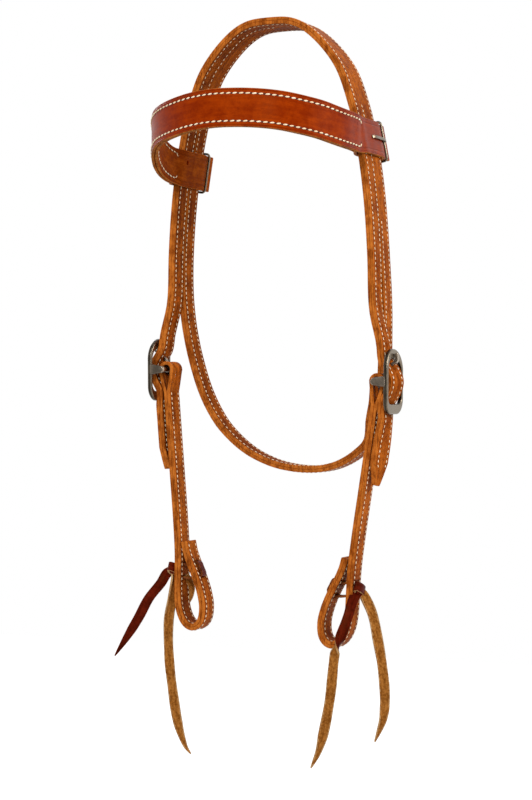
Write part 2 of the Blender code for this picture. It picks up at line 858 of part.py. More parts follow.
def clasp_tongue(side):
    """The clasp's flat tongue: an eye on the ring's outer rail, its tip in the outer tab's hole."""
    hinge, upward, outward = clasp_hinge(side)
    forward = Vector((0.0, -1.0, 0.0))
    tab_face = strap_total / 2 + tab_clear + leather - (
        strap_total / 2 + clasp_side_clear + clasp_wire / 2)
    resting = tab_face + tab_clear * 1.4 + clasp_tongue_thick / 2
    eye_inner = clasp_wire / 2 + tongue_clear * 0.6
    eye_outer = eye_inner + clasp_eye
    root = (eye_inner + eye_outer) / 2
    shape = (
        (root * 0.98, root * 0.20), (resting, root * 2.4), (resting, clasp_tongue_reach * 0.45),
        (resting, clasp_tongue_reach * 0.86), (tab_face * 0.9, clasp_tongue_reach * 0.985))
    places = [hinge + outward * out + forward * reach for out, reach in shape]
    blade = bar_tongue(
        f"clasp_blade_{side}", places, upward, clasp_tongue_width, clasp_tongue_thick,
        dark_nickel())
    bm = bmesh.new()
    revolve_eye(bm, eye_inner, eye_outer, clasp_tongue_width, upward, hinge, 10)
    eye = named_object(f"browband_clasp_tongue_{side}", bm, dark_nickel())
    return joined(f"browband_clasp_tongue_{side}", [eye, blade])


def tab_hole_peg(side):
    hinge, upward, outward = clasp_hinge(side)
    centre = hinge + Vector((0.0, -clasp_tongue_reach * 0.965, 0.0))
    return peg(f"tab_hole_{side}", centre, outward, tab_hole, 2 * strap_total)


def leg_line(side, first, last):
    """Part of the cheek strap's middle line as a fine framed line."""
    line = smooth([
        in_cheek_plane(side, inward * loop_reach, down * cheek_length)
        for inward, down in cheek_route_shares[first:last]])
    return frames(line, Vector((0.0, 1.0, 0.0)))


def beside(framed, side, down, off):
    """A place off a leg's middle line, inboard when positive, at a distance below the bar."""
    place, _, face = nearest_frame(framed, in_cheek_plane(side, 0.0, down).z)
    inboard = face if face.x * SIDES[side] < 0 else -face
    return place + inboard * off


def thong_level(sense=0):
    """How far below the bar the lace passes: the middle of the two passes, or one of them."""
    return thong_middle_share * cheek_length + sense * thong_apart / 2


def thong_path(side):
    """The lace: in through the cheek strap, over the return leg and back out lower down."""
    upper, lower = thong_level(-1), thong_level(1)
    near = leg_line(side, 2, 7)
    far = leg_line(side, -5, None)
    beyond = strap_total / 2 + layer_gap + thong_thick / 2
    collar_middle = strap_total / 2 + layer_gap + collar_depth / 2
    bend = thong_thick * 0.7
    return [
        beside(near, side, upper, -collar_middle),
        beside(near, side, upper, 0.0),
        beside(far, side, upper, -beyond),
        beside(far, side, upper, beyond * 0.8),
        beside(far, side, upper + bend, beyond + bend / 2),
        beside(far, side, thong_level(), beyond + bend / 2),
        beside(far, side, lower - bend, beyond + bend / 2),
        beside(far, side, lower, beyond * 0.8),
        beside(far, side, lower, -beyond),
        beside(near, side, lower, 0.0),
        beside(near, side, lower, -collar_middle),
    ]


def thong_strip(name, side, spare=0.0):
    """The lace as a strip, or the cutter for its holes when it is given some spare."""
    framed = frames(stations(thong_path(side), turn=math.radians(18)), Vector((0.0, 1.0, 0.0)))
    return strip(
        name, framed, thong_width + 2 * spare, 0.0, thong_thick + 2 * spare, lace_leather(),
        bevel=0.0)


def collar_centre(side):
    off = strap_total / 2 + layer_gap + collar_depth / 2
    return beside(leg_line(side, 2, 7), side, thong_level(), -off)


def tie_thong(side):
    """The lace with the knotted collar that draws its two ends together on the outer face."""
    lace = thong_strip(f"tie_thong_{side}", side)
    bm = bmesh.new()
    bmesh.ops.create_uvsphere(bm, u_segments=14, v_segments=8, radius=0.5)
    centre = collar_centre(side)
    size = Matrix.Diagonal((collar_depth, collar_width, collar_height, 1.0))
    lean = Matrix.Rotation(SIDES[side] * cheek_lean[side], 4, "Y")
    bmesh.ops.transform(bm, matrix=Matrix.Translation(centre) @ lean @ size, verts=bm.verts)
    collar = named_object(f"collar_{side}", bm, lace_leather())
    return joined(f"tie_thong_{side}", [lace, collar])


def thong_tail(name, side, route, hints):
    """One hanging end of the lace, turning from flat against the collar to face forward."""
    points = [collar_centre(side) + Vector(place) for place in route]
    places = with_point(stations(points, tail_step), tail_point)
    start, end = (Vector(hint) for hint in hints)
    total = sum((b - a).length for a, b in zip(places, places[1:]))
    run, broad = 0.0, [start]
    for before, after in zip(places, places[1:]):
        run += (after - before).length
        broad.append(start.lerp(end, min(1.0, run / (total * tail_twist_share))))
    framed = frames(places, broad)
    widths = pointed(places, tail_width, tail_point, 0.16)
    made = strip(name, framed, widths, 0.0, thong_thick, lace_leather(), bevel=0.0)
    print(name, "length", round(total, 4))
    return made


def turn_about(name, pivot):
    """Puts a moving piece's origin on the axis it turns about, and leaves the piece in place."""
    made = bpy.data.objects[name]
    made.data.transform(Matrix.Translation(-pivot))
    made.location = pivot


def clear_scene():
    for old in list(bpy.data.objects):
        bpy.data.objects.remove(old, do_unlink=True)


def build():
    clear_scene()
    crown = [
        crown_sheet("crown_outer", (leather + layer_gap) / 2),
        crown_sheet("crown_lining", -(leather + layer_gap) / 2)]
    for side in SIDES:
        for hole in billet_holes(side):
            for layer in crown:
                cut(layer, hole)
    outer_band = browband_layer("browband_outer", True)
    browband_layer("browband_lining", False)
    for side in SIDES:
        clasp_ring(side)
        clasp_tongue(side)
        cut(outer_band, tab_hole_peg(side))
        buckle_frame(side)
        buckle_tongue(side)
        framed = frames(cheek_route(side), Vector((0.0, 1.0, 0.0)))
        strap = strip(
            f"cheek_strap_{side}", framed, half_width, 0.0, leather, harness_leather())
        cut(strap, slot_cutter(side))
        cut(strap, thong_strip(f"lace_holes_{side}", side, thong_clear))
        tie_thong(side)
        for name, (route, hints) in tail_routes.items():
            if name.endswith(side):
                thong_tail(name, side, route, hints)
                turn_about(name, bar_centre(side))
        for name in ("cheek_strap", "tie_thong", "cheek_buckle_tongue"):
            turn_about(f"{name}_{side}", bar_centre(side))
        turn_about(f"browband_clasp_tongue_{side}", clasp_hinge(side)[0])


build()
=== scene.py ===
# %% [markdown]
# # Western headstall
# The solids that hold the headstall's real shape are brought in first. Each visible piece is then
# modelled over its solid, so that the finished object keeps the sizes, joints and routes of the
# solids and gains the look of stitched leather.

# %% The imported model
import math

import bmesh
import bpy
from mathutils import Matrix, Vector, geometry


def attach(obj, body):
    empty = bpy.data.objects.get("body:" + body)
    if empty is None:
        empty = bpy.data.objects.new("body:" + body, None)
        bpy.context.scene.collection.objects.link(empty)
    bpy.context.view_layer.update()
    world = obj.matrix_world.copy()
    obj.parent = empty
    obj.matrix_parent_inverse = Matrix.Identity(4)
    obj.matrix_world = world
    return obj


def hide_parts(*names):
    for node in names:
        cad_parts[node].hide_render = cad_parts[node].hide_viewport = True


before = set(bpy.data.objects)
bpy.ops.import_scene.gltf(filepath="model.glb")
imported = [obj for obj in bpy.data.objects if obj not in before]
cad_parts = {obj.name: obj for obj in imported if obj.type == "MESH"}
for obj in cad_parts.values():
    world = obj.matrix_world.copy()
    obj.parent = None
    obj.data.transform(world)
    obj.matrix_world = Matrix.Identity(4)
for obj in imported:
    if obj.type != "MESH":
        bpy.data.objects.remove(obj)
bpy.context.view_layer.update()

# %% [markdown]
# ## The camera
# The photograph was taken level with the middle of the straps, from 25 degrees to the right of
# straight ahead. A camera that stands 1.5 m off gives the same mild perspective. Its lens is worked
# out from the size that one pixel should have at the headstall's middle.


# %% Camera
def new_object(name, data):
    """Makes an object of some data and puts it in the scene."""
    made = bpy.data.objects.new(name, data)
    bpy.context.scene.collection.objects.link(made)
    return made


camera_turn = math.radians(25)
rightward = Vector((math.cos(camera_turn), math.sin(camera_turn), 0.0))
forward = Vector((-math.sin(camera_turn), math.cos(camera_turn), 0.0))
pixel, image_height = 0.00076, 800
distance = 1.50
aim_level, aim_left_pixels = -0.283, 11.7
camera_data = bpy.data.cameras.new("camera")
camera_data.lens = camera_data.sensor_width * distance / (pixel * image_height)
camera = new_object("camera", camera_data)
camera.location = (
    Vector((0.0, 0.0, aim_level)) - rightward * (aim_left_pixels * pixel) - forward * distance)
camera.rotation_euler = (math.pi / 2, 0.0, camera_turn)
bpy.context.scene.camera = camera
print("lens", round(camera_data.lens, 1), "mm")

# %% [markdown]
# ## Sizes and routes
# A strap is easiest to describe by the line that its middle follows. The lines below are the ones
# that the solids were made along, so they are written with the same sizes, in metres. Smooth curves
# through a few chosen points could be drawn by hand in the editor, but points in code can be changed
# one at a time when a strap sits a millimetre off.

# %% Sizes
leather = 0.0024
layer_gap = 0.0003
strap_total = 2 * leather + layer_gap
layer_lift = (leather + layer_gap) / 2  # from the doubled strap's middle to a layer's middle
row_inset, brow_row_inset, slit_inset = 0.0030, 0.0039, 0.0026  # stitch rows, in from an edge
crown_width, slit = 0.033, 0.0007
layer_swell = 0.0002  # a sewn layer is this much thicker, which all but closes the gap
half_width = (crown_width - slit) / 2
half_centre = (crown_width + slit) / 4
head_half_width = 0.088
drop_to_bar = {"left": 0.2595, "right": 0.2695}
crown_flat = 0.007
crown_route_shares = (
    (0.153, 0.0012), (0.295, 0.0143), (0.460, 0.0590), (0.628, 0.1250), (0.699, 0.1770),
    (0.778, 0.2610), (0.858, 0.3910), (0.908, 0.5200), (0.937, 0.6610), (0.952, 0.8020))
slit_start_share = 0.261
throat_drop, throat_set_back, throat_sway = 0.3395, 0.042, 0.005
rear_stop = 0.022  # the rear half ends this far above the throatlatch's first place
lap_to, lap_end = 7, 4  # the lap runs up from the right side's seventh place to its fifth
throat_route_shares = {
    "left": (
        (0.938, 0.590, 0.00), (0.925, 0.645, 0.02), (0.905, 0.690, 0.05), (0.875, 0.745, 0.13),
        (0.825, 0.820, 0.32), (0.745, 0.885, 0.55), (0.640, 0.928, 0.72), (0.505, 0.962, 0.86),
        (0.330, 0.986, 0.95), (0.160, 0.997, 0.99)),
    "right": (
        (0.953, 0.590, 0.00), (0.960, 0.645, 0.00), (0.960, 0.690, 0.00), (0.950, 0.745, 0.04),
        (0.922, 0.800, 0.14), (0.875, 0.850, 0.30), (0.800, 0.893, 0.50), (0.672, 0.932, 0.70),
        (0.515, 0.963, 0.86), (0.330, 0.986, 0.95), (0.160, 0.997, 0.99)),
}
frame_height, frame_width, frame_plate = 0.0480, 0.0325, 0.0034
frame_end, frame_rail, frame_bow = 0.0075, 0.0028, 0.0010
half_opening = frame_height / 2 - frame_end
bar_diameter, bar_offset = 0.0050, 0.0096
fold_clear, fold_inward, fold_play = 0.0012, 0.0006, 0.0004
billet_bulge, billet_clear, billet_off_fold = 0.0033, 0.0005, 0.0012
punch_over = 0.008  # punches for billets and folds are this much longer than those are thick
billet_stand_off = 0.0024  # the billet's tail hangs a little clear of the cheek strap
billet_turn = {"left": 0.0, "right": math.radians(14)}  # the bulge's face turns forward
billet_tail, billet_point = 0.0765, 0.017
cheek_lean = {"left": math.radians(4.6), "right": math.radians(9.0)}
SIDES = {"left": -1, "right": 1}
backward = Vector((0.0, 1.0, 0.0))  # every strap lies edge forward, so its width runs this way
upright = Vector((0.0, 0.0, 1.0))
print("strap thickness", round(strap_total * 1000, 2), "mm")

# %% [markdown]
# ### Lines with directions
# A strap needs more than a line: at each place it has to know which way its width and its face lie.
# A curve object would work that out by itself and may twist on the way. Here the width direction is
# given, the run is taken from the line, and the face direction follows from the two.


# %% Lines and directions
def smooth(points, steps=24):
    """A finely divided curve through the points, with each handle a third of the way."""
    last = len(points) - 1
    tangents = [
        (points[min(i + 1, last)] - points[max(i - 1, 0)]).normalized() for i in range(last + 1)]
    line = [points[0].copy()]
    for i in range(last):
        reach = (points[i + 1] - points[i]).length / 3
        line += geometry.interpolate_bezier(
            points[i], points[i] + tangents[i] * reach,
            points[i + 1] - tangents[i + 1] * reach, points[i + 1], steps + 1)[1:]
    return line


def ease(line, passes):
    """Rounds a fine line a little by moving each place towards the middle of its neighbours."""
    for _ in range(passes):
        line = [line[0]] + [
            here.lerp((before + after) / 2, 0.5)
            for before, here, after in zip(line, line[1:], line[2:])] + [line[-1]]
    return line


def thin(line, step=0.006, turn=math.radians(4)):
    """Keeps a place each time the line has run a step or turned enough."""
    kept, run, turned = [line[0]], 0.0, 0.0
    for before, here, after in zip(line, line[1:], line[2:]):
        run += (here - before).length
        turned += (here - before).angle(after - here, 0.0)
        if run >= step or turned >= turn:
            kept.append(here)
            run, turned = 0.0, 0.0
    return kept + [line[-1]]


def frames(places, broad=backward):
    """Each place with its width direction and its face direction."""
    found, last = [], len(places) - 1
    for i, place in enumerate(places):
        run = (places[min(i + 1, last)] - places[max(i - 1, 0)]).normalized()
        hint = broad[i] if isinstance(broad, list) else broad
        across = (hint - run * hint.dot(run)).normalized()
        found.append((place, across, run.cross(across).normalized()))
    return found


def side_point(side, outward, depth, level):
    return Vector((SIDES[side] * outward, depth, level))


base_top = leather + layer_gap / 2
fold_outer = bar_diameter / 2 + fold_clear + leather
print("fold over the bar", round(2 * fold_outer * 1000, 1), "mm across")

# %% [markdown]
# ### Where the long straps run
# The crown, its billets and the throatlatch are parts of one strap, so their routes share the
# crown's points. The billet then bulges over the buckle's bar, with the folded cheek strap under it,
# and each place there is worked out from the layers that lie between.


# %% Routes of the crown, the billets and the throatlatch
def bar_centre(side):
    return side_point(side, head_half_width, -half_centre, -drop_to_bar[side])


def in_cheek_plane(side, inward, down):
    """A place in the leaning cheek strap's own plane, from the bar: inward and down."""
    lean = cheek_lean[side]
    outward = head_half_width - inward * math.cos(lean) - down * math.sin(lean)
    level = -drop_to_bar[side] - down * math.cos(lean) + inward * math.sin(lean)
    return side_point(side, outward, -half_centre, level)


def crown_side(side, depth, stop=math.inf):
    """The crown's middle line down one side, as far as a stop below its top."""
    drop = drop_to_bar[side] + base_top
    return [side_point(side, crown_flat, depth, base_top)] + [
        side_point(side, outward * head_half_width, depth, base_top - down * drop)
        for outward, down in crown_route_shares if down * drop < stop]


def bow_at(level=half_opening):
    """How far the buckle's frame leans in at a level above or below its bar."""
    return frame_bow * (level / (frame_height / 2)) ** 2


def billet_route(side):
    """Down the crown's front half, through the buckle and on along the cheek strap."""
    behind_plate = bar_offset - frame_plate / 2 - bow_at() - 2 * billet_clear - strap_total / 2
    bulge = billet_bulge - 0.25 * half_width * math.sin(billet_turn[side])
    over_bar = (
        bar_diameter / 2 + fold_play + leather + billet_clear + bulge + strap_total / 2)
    points = crown_side(side, -half_centre)
    for outward, level in (
            (behind_plate * 0.45, half_opening + frame_end * 1.5),
            (behind_plate, half_opening * 0.94), (over_bar * 0.78, half_opening * 0.45),
            (over_bar, 0.0), (over_bar * 0.80, -half_opening * 0.50)):
        points.append(bar_centre(side) + side_point(side, outward, 0.0, level))
    points.append(in_cheek_plane(side, -strap_total - billet_off_fold, half_opening))
    for down in (frame_height * 0.56, frame_height * 0.72, frame_height, billet_tail * 0.82,
                 billet_tail):
        points.append(in_cheek_plane(side, -strap_total - billet_stand_off, down))
    return points


def throat_place(side, outward, down, back):
    """A place of the throatlatch from its shares, swayed over towards the right at the bottom."""
    place = side_point(
        side, outward * head_half_width, half_centre + back * throat_set_back,
        base_top - down * throat_drop)
    place.x += throat_sway * down ** 4 * (1 - outward) / (1 - throat_route_shares[side][-1][0])
    return place


def rear_route(side):
    """The crown's rear half down to where the throatlatch takes over."""
    return crown_side(
        side, half_centre, throat_route_shares[side][0][1] * throat_drop - rear_stop)


def throat_route(side, upto=None):
    return [throat_place(side, *shares) for shares in throat_route_shares[side][:upto]]


def long_rear_route():
    """Left rear half, the whole throatlatch and its lap inside the right rear half's end."""
    rising = throat_route("right")[::-1]
    inboard = strap_total + 2 * layer_gap
    lapped = [place + face * inboard for place, _, face in frames(rising)[-lap_to:-lap_end]]
    return (rear_route("left") + throat_route("left") + [throat_place("left", 0.0, 1.0, 1.0)]
            + rising[:-lap_to] + lapped)


print("throatlatch and left rear half", len(long_rear_route()), "points")

# %% [markdown]
# ## Leather
# Every strap on this headstall is oiled harness leather, with a fine grain, a pressed crease along
# each edge, a shallow channel under each stitch row and burnished cut edges. Painted textures would
# need image files. Shader nodes give the same marks at any closeness, as long as they know where
# they are on the strap, so each strap stores two things: a map of how far along and across each
# corner lies, in metres, and the half width of the strap there.


# %% Node helpers
def node(tree, kind, values=(), **settings):
    """Adds a shader node, sets its options and fills or links its sockets."""
    made = tree.nodes.new("ShaderNode" + kind)
    for key, value in settings.items():
        setattr(made, key, value)
    for socket, value in dict(values).items():
        if isinstance(value, bpy.types.NodeSocket):
            tree.links.new(value, made.inputs[socket])
        else:
            made.inputs[socket].default_value = value
    return made


def calc(tree, operation, *values):
    return node(tree, "Math", enumerate(values), operation=operation).outputs[0]


def weighted(tree, *pairs):
    """Adds values up, each times its share."""
    total = None
    for value, share in pairs:
        part = calc(tree, "MULTIPLY", value, share)
        total = part if total is None else calc(tree, "ADD", total, part)
    return total


def ramp(tree, value, low, high, start=0.0, end=1.0):
    """A soft step from start to end while the value goes from low to high."""
    return node(tree, "MapRange", {
        "Value": value, "From Min": low, "From Max": high, "To Min": start, "To Max": end},
        interpolation_type="SMOOTHSTEP").outputs["Result"]


def band(tree, value, centre, width):
    """1 where the value is at the centre, 0 a width away."""
    return ramp(tree, calc(tree, "ABSOLUTE", calc(tree, "SUBTRACT", value, centre)), 0.0, width,
                1.0, 0.0)


def mixed(tree, factor, first, second):
    made = node(tree, "Mix", data_type="RGBA")
    for socket, value in ((0, factor), (6, first), (7, second)):
        if isinstance(value, bpy.types.NodeSocket):
            tree.links.new(value, made.inputs[socket])
        elif socket:
            made.inputs[socket].default_value = (*value, 1.0)
        else:
            made.inputs[socket].default_value = value
    return made.outputs[2]


def shaded(colour, share):
    return tuple(part * share for part in colour)


def own_place(tree):
    return node(tree, "TexCoord").outputs["Object"]


def noise(tree, vector, scale, detail=4.0, rough=0.55):
    return node(tree, "TexNoise", {
        "Vector": vector, "Scale": scale, "Detail": detail, "Roughness": rough}).outputs["Fac"]


def empty_material(name, roughness=0.5, **sockets):
    made = bpy.data.materials.new(name)
    made.use_nodes = True
    tree = made.node_tree
    shader = tree.nodes["Principled BSDF"]
    shader.inputs["Roughness"].default_value = roughness
    for socket, value in sockets.items():
        shader.inputs[socket.replace("_", " ")].default_value = value
    return made, tree, shader


def finish_shader(tree, shader, colour, roughness, height, depth):
    bump = node(tree, "Bump", {"Height": height, "Strength": 1.0, "Distance": depth})
    tree.links.new(colour, shader.inputs["Base Color"])
    tree.links.new(roughness, shader.inputs["Roughness"])
    tree.links.new(bump.outputs["Normal"], shader.inputs["Normal"])


print("node helpers ready")

# %% [markdown]
# ### The grain side
# The grain side is the smooth face of the hide. Its colour is uneven in three sizes: broad clouds,
# blotches and fine streaks drawn out along the strap. Dark flecks stand for pores. The crease and
# the channel under the stitches follow the strap's edge, so they read the distance from that edge.
# Both are painted darker: the crease is pressed dark, and both carry painted shade as grooves. A thin
# band at the very edge is painted lighter, a painted highlight where light catches the rounded edge.


# %% Grain side
def strap_places(tree):
    """Where a point of a strap is: along and across it, and in from its nearest edge."""
    uv = node(tree, "UVMap", uv_map="strap").outputs["UV"]
    parts = node(tree, "SeparateXYZ", {0: uv}).outputs
    half = node(tree, "Attribute", attribute_name="half_width").outputs["Fac"]
    inward = calc(tree, "SUBTRACT", half, calc(tree, "ABSOLUTE", parts["Y"]))
    return parts["X"], parts["Y"], inward


def drawn_out(tree, along, across, share):
    """Places on the strap's map, on which a pattern is drawn out along the strap."""
    return node(tree, "CombineXYZ", {
        "X": calc(tree, "MULTIPLY", along, share), "Y": across}).outputs[0]


def grain_side(name, deep, light, roughness, row=row_inset, crease=0.0011, pores=0.5, gloss=0.01):
    """The grain side: flecks, painted shade in crease and stitch channel, painted edge highlight."""
    made, tree, shader = empty_material(
        name, Specular_IOR_Level=gloss, Specular_Tint=(1.0, 0.42, 0.10, 1.0))
    spot = own_place(tree)
    along, across, inward = strap_places(tree)
    mottle = noise(tree, spot, 110, 6, 0.70)
    cloud = noise(tree, spot, 17, 3)
    fleck = noise(tree, spot, 420, 4, 0.75)
    streak = noise(tree, drawn_out(tree, along, across, 0.12), 330, 5, 0.7)
    grain = node(tree, "TexVoronoi", {"Vector": spot, "Scale": 1500.0}).outputs["Distance"]
    wrinkle = noise(tree, spot, 900, 4, 0.6)
    line = band(tree, inward, crease, 0.0004)
    channel = band(tree, inward, row, 0.0008)
    edge_highlight = ramp(tree, inward, 0.0, 0.0007, 1.0, 0.0)
    tone = weighted(tree, (mottle, 0.42), (cloud, 0.22), (streak, 0.36))
    colour = mixed(tree, ramp(tree, tone, 0.40, 0.63), deep, light)
    pits = ramp(tree, fleck, 0.34, 0.50, 1.1 * pores, 0.0)
    colour = mixed(tree, pits, colour, shaded(deep, 0.30))
    # Painted highlight: a thin band at the very edge is made lighter, as if catching the light.
    colour = mixed(tree, weighted(tree, (edge_highlight, 0.45)), colour, shaded(light, 1.5))
    # Painted shade in the crease and the stitch channel; the crease is also pressed dark.
    colour = mixed(
        tree, weighted(tree, (line, 0.35), (channel, 0.30)), colour, shaded(deep, 0.25))
    height = weighted(
        tree, (grain, pores * 0.5), (wrinkle, pores), (line, -1.2), (channel, -1.4))
    rough = ramp(tree, mottle, 0.3, 0.7, roughness - 0.07, roughness + 0.08)
    finish_shader(tree, shader, colour, rough, height, 0.00014)
    return made


print("grain side ready")

# %% [markdown]
# ### Cut edges and the flesh side
# A cut edge shows the hide's fibres, rubbed down with wax, and the flesh side is napped like suede.
# Both could reuse the grain side with other colours, but they would look like printed paper: the
# edge needs fibres that run along it, and the nap needs a fine, soft relief and a pale, torn rim,
# which is also a painted highlight where light catches the edge.


# %% Cut edges and flesh side
def cut_edge(name, deep, light):
    """A burnished cut edge, with the hide's fibres running along it."""
    made, tree, shader = empty_material(
        name, Specular_IOR_Level=0.015, Specular_Tint=(1.0, 0.6, 0.25, 1.0))
    spot = own_place(tree)
    stretched = node(
        tree, "VectorMath", {0: spot, 1: (1.0, 1.0, 0.12)}, operation="MULTIPLY").outputs[0]
    fibre = noise(tree, stretched, 700, 5, 0.75)
    patch = noise(tree, spot, 110, 6, 0.7)
    tone = weighted(tree, (fibre, 0.5), (patch, 0.5))
    colour = mixed(tree, ramp(tree, tone, 0.40, 0.61), deep, light)
    colour = mixed(tree, ramp(tree, fibre, 0.36, 0.46, 0.45, 0.0), colour, shaded(deep, 0.35))
    rough = ramp(tree, patch, 0.3, 0.7, 0.42, 0.60)
    finish_shader(tree, shader, colour, rough, fibre, 0.00008)
    return made


def flesh_side(name, deep, light, pale):
    """The underside of the hide, napped and matt."""
    made, tree, shader = empty_material(name, Specular_IOR_Level=0.01)
    spot = own_place(tree)
    along, across, inward = strap_places(tree)
    nap = noise(tree, spot, 600, 6, 0.8)
    patch = noise(tree, drawn_out(tree, along, across, 0.22), 420, 6, 0.7)
    tone = weighted(tree, (nap, 0.55), (patch, 0.45))
    rim = ramp(tree, inward, 0.0002, 0.0011, 1.0, 0.0)
    # A pale, ragged rim along the edge: torn fibres, and a painted highlight as well.
    torn_rim_highlight = calc(tree, "MULTIPLY", rim, ramp(tree, noise(tree, spot, 420, 3), 0.40, 0.60))
    colour = mixed(tree, ramp(tree, tone, 0.41, 0.60), deep, light)
    colour = mixed(tree, weighted(tree, (torn_rim_highlight, 0.75)), colour, pale)
    colour = mixed(
        tree, ramp(tree, inward, 0.0, 0.0004, 0.5, 0.0), colour, shaded(deep, 0.4))
    finish_shader(tree, shader, colour, ramp(tree, patch, 0.3, 0.7, 0.78, 0.92), nap, 0.00025)
    return made


print("edge and flesh side ready")

# %% [markdown]
# ### Three kinds of leather
# The crown and the cheek straps are tan harness leather, the browband is a redder, glossier russet,
# and the thongs are latigo: burgundy on the grain side and tan on the flesh side. Each is the same
# recipe with a deep and a light colour of its own.

# %% The leathers
harness = grain_side("harness_grain", (0.205, 0.036, 0.0026), (0.560, 0.141, 0.015), 0.42)
# The lining's inner face: a darker copy of the harness leather, painted shade under the crown.
harness_inside_shaded = grain_side("harness_inside_shaded", (0.138, 0.023, 0.0018), (0.440, 0.103, 0.010), 0.50)
harness_edge = cut_edge("harness_edge", (0.235, 0.050, 0.005), (0.560, 0.164, 0.023))
russet = grain_side(
    "russet_grain", (0.195, 0.014, 0.0002), (0.325, 0.035, 0.0005), 0.32,
    row=brow_row_inset, crease=0.0014, pores=0.15, gloss=0.09)
russet_inside = grain_side(
    "russet_inside", (0.190, 0.028, 0.002), (0.400, 0.085, 0.007), 0.5,
    row=brow_row_inset, pores=0.3)
russet_edge = cut_edge("russet_edge", (0.190, 0.055, 0.009), (0.480, 0.170, 0.036))
latigo = grain_side(
    "latigo_grain", (0.040, 0.0022, 0.0006), (0.130, 0.0100, 0.0030), 0.34,
    row=1.0, crease=0.0007, pores=0.3, gloss=0.06)  # the row lies off the lace: it has none
latigo_flesh = flesh_side(
    "latigo_flesh", (0.160, 0.048, 0.005), (0.400, 0.155, 0.030), (0.620, 0.400, 0.190))
latigo_edge = cut_edge("latigo_edge", (0.330, 0.150, 0.045), (0.660, 0.420, 0.200))
latigo_rim = cut_edge("latigo_rim", (0.080, 0.016, 0.004), (0.240, 0.070, 0.020))
print(len(bpy.data.materials), "materials so far")

# %% [markdown]
# ## Thread and metal
# The thread is waxed cotton, cream coloured and twisted. The hardware is cast and plated dark, with a
# satin surface and slightly pitted. Its colour is painted lighter on its outward faces and on a band
# of the rounding beside them, a painted reflection of bright surroundings.


# %% Thread and metal finishes
def waxed_thread():
    made, tree, shader = empty_material("waxed_thread", 0.6, Specular_IOR_Level=0.08)
    spot = own_place(tree)
    twist = node(tree, "TexWave", {"Vector": spot, "Scale": 420.0, "Distortion": 1.5},
                 bands_direction="DIAGONAL").outputs["Fac"]
    age = noise(tree, spot, 160, 4)
    colour = mixed(tree, ramp(tree, age, 0.35, 0.7), (0.82, 0.63, 0.39), (1.0, 0.88, 0.66))
    finish_shader(tree, shader, colour, ramp(tree, age, 0.3, 0.7, 0.5, 0.7), twist, 0.00010)
    return made


def thread_hole():
    """Painted shade: the dark inside of a needle hole, as a disc on the leather."""
    made, tree, shader = empty_material("thread_hole", 0.8)
    hole_noise = noise(tree, own_place(tree), 700, 4)
    colour = mixed(tree, hole_noise, (0.012, 0.004, 0.002), (0.045, 0.014, 0.006))
    finish_shader(tree, shader, colour, ramp(tree, hole_noise, 0.3, 0.7, 0.7, 0.9), hole_noise, 0.0001)
    return made


def cast_metal(name, dark, bright, roughness):
    """Dark plating, with a painted reflection on outward faces and the rounding beside them."""
    made, tree, shader = empty_material(name, Metallic=1.0)
    spot = own_place(tree)
    patch = noise(tree, spot, 130, 5, 0.6)
    pits = node(tree, "TexVoronoi", {"Vector": spot, "Scale": 1300.0}).outputs["Distance"]
    fine = noise(tree, spot, 1500, 3)
    # Painted reflection: lighter where the normal points out sideways, and on a band of the rounding.
    facing = node(tree, "SeparateXYZ", {0: node(tree, "TexCoord").outputs["Normal"]})
    outward = calc(tree, "ABSOLUTE", facing.outputs["X"])
    painted_glint = calc(tree, "MAXIMUM", ramp(tree, outward, 0.45, 0.80),
                 weighted(tree, (band(tree, outward, 0.24, 0.13), 0.9)))
    lit = weighted(tree, (painted_glint, 0.85), (ramp(tree, patch, 0.34, 0.68), 0.15))
    rough = ramp(tree, weighted(tree, (patch, 1.0), (fine, 0.3)), 0.4, 0.9,
                 roughness - 0.08, roughness + 0.15)
    finish_shader(tree, shader, mixed(tree, lit, dark, bright), rough,
                  weighted(tree, (pits, 0.6), (fine, 0.5)), 0.00007)
    return made


thread = waxed_thread()
hole_dark = thread_hole()
nickel = cast_metal("dark_nickel", (0.014, 0.011, 0.008), (0.235, 0.188, 0.132), 0.20)
ring_metal = cast_metal("worn_ring", (0.030, 0.022, 0.014), (0.230, 0.180, 0.125), 0.22)
# A lighter copy of the plating for the ears and the buckle tongues: painted light on these parts.
lit_plating = cast_metal("lit_plating_tongue", (0.080, 0.064, 0.048), (0.420, 0.345, 0.265), 0.20)
print(len(bpy.data.materials), "materials in all")

# %% [markdown]
# ## Making a strap
# A strap could be a box bent by a curve modifier, but its ends, slots and splits are easier to shape
# on a flat sheet that is grown one station at a time by extruding its last row. Solidify then gives
# the sheet the hide's thickness, with the cut edges and the back on their own materials, and Bevel
# rounds the edges as a burnisher does.


# %% Growing a sheet
def new_sheet():
    bm = bmesh.new()
    bm.loops.layers.uv.new("strap")
    bm.loops.layers.float.new("half_width")
    return bm


def station(framed, lift, offsets, along, half):
    """One row of a sheet: the places across the strap, and where each lies on the strap's map."""
    place, across, face = framed
    return {
        "places": [place + face * lift + across * offset for offset in offsets],
        "marks": [(along, offset) for offset in offsets], "half": half}


def first_row(bm, opening):
    row = [bm.verts.new(place) for place in opening["places"]]
    for pair in zip(row, row[1:]):
        bm.edges.new(pair)
    return row


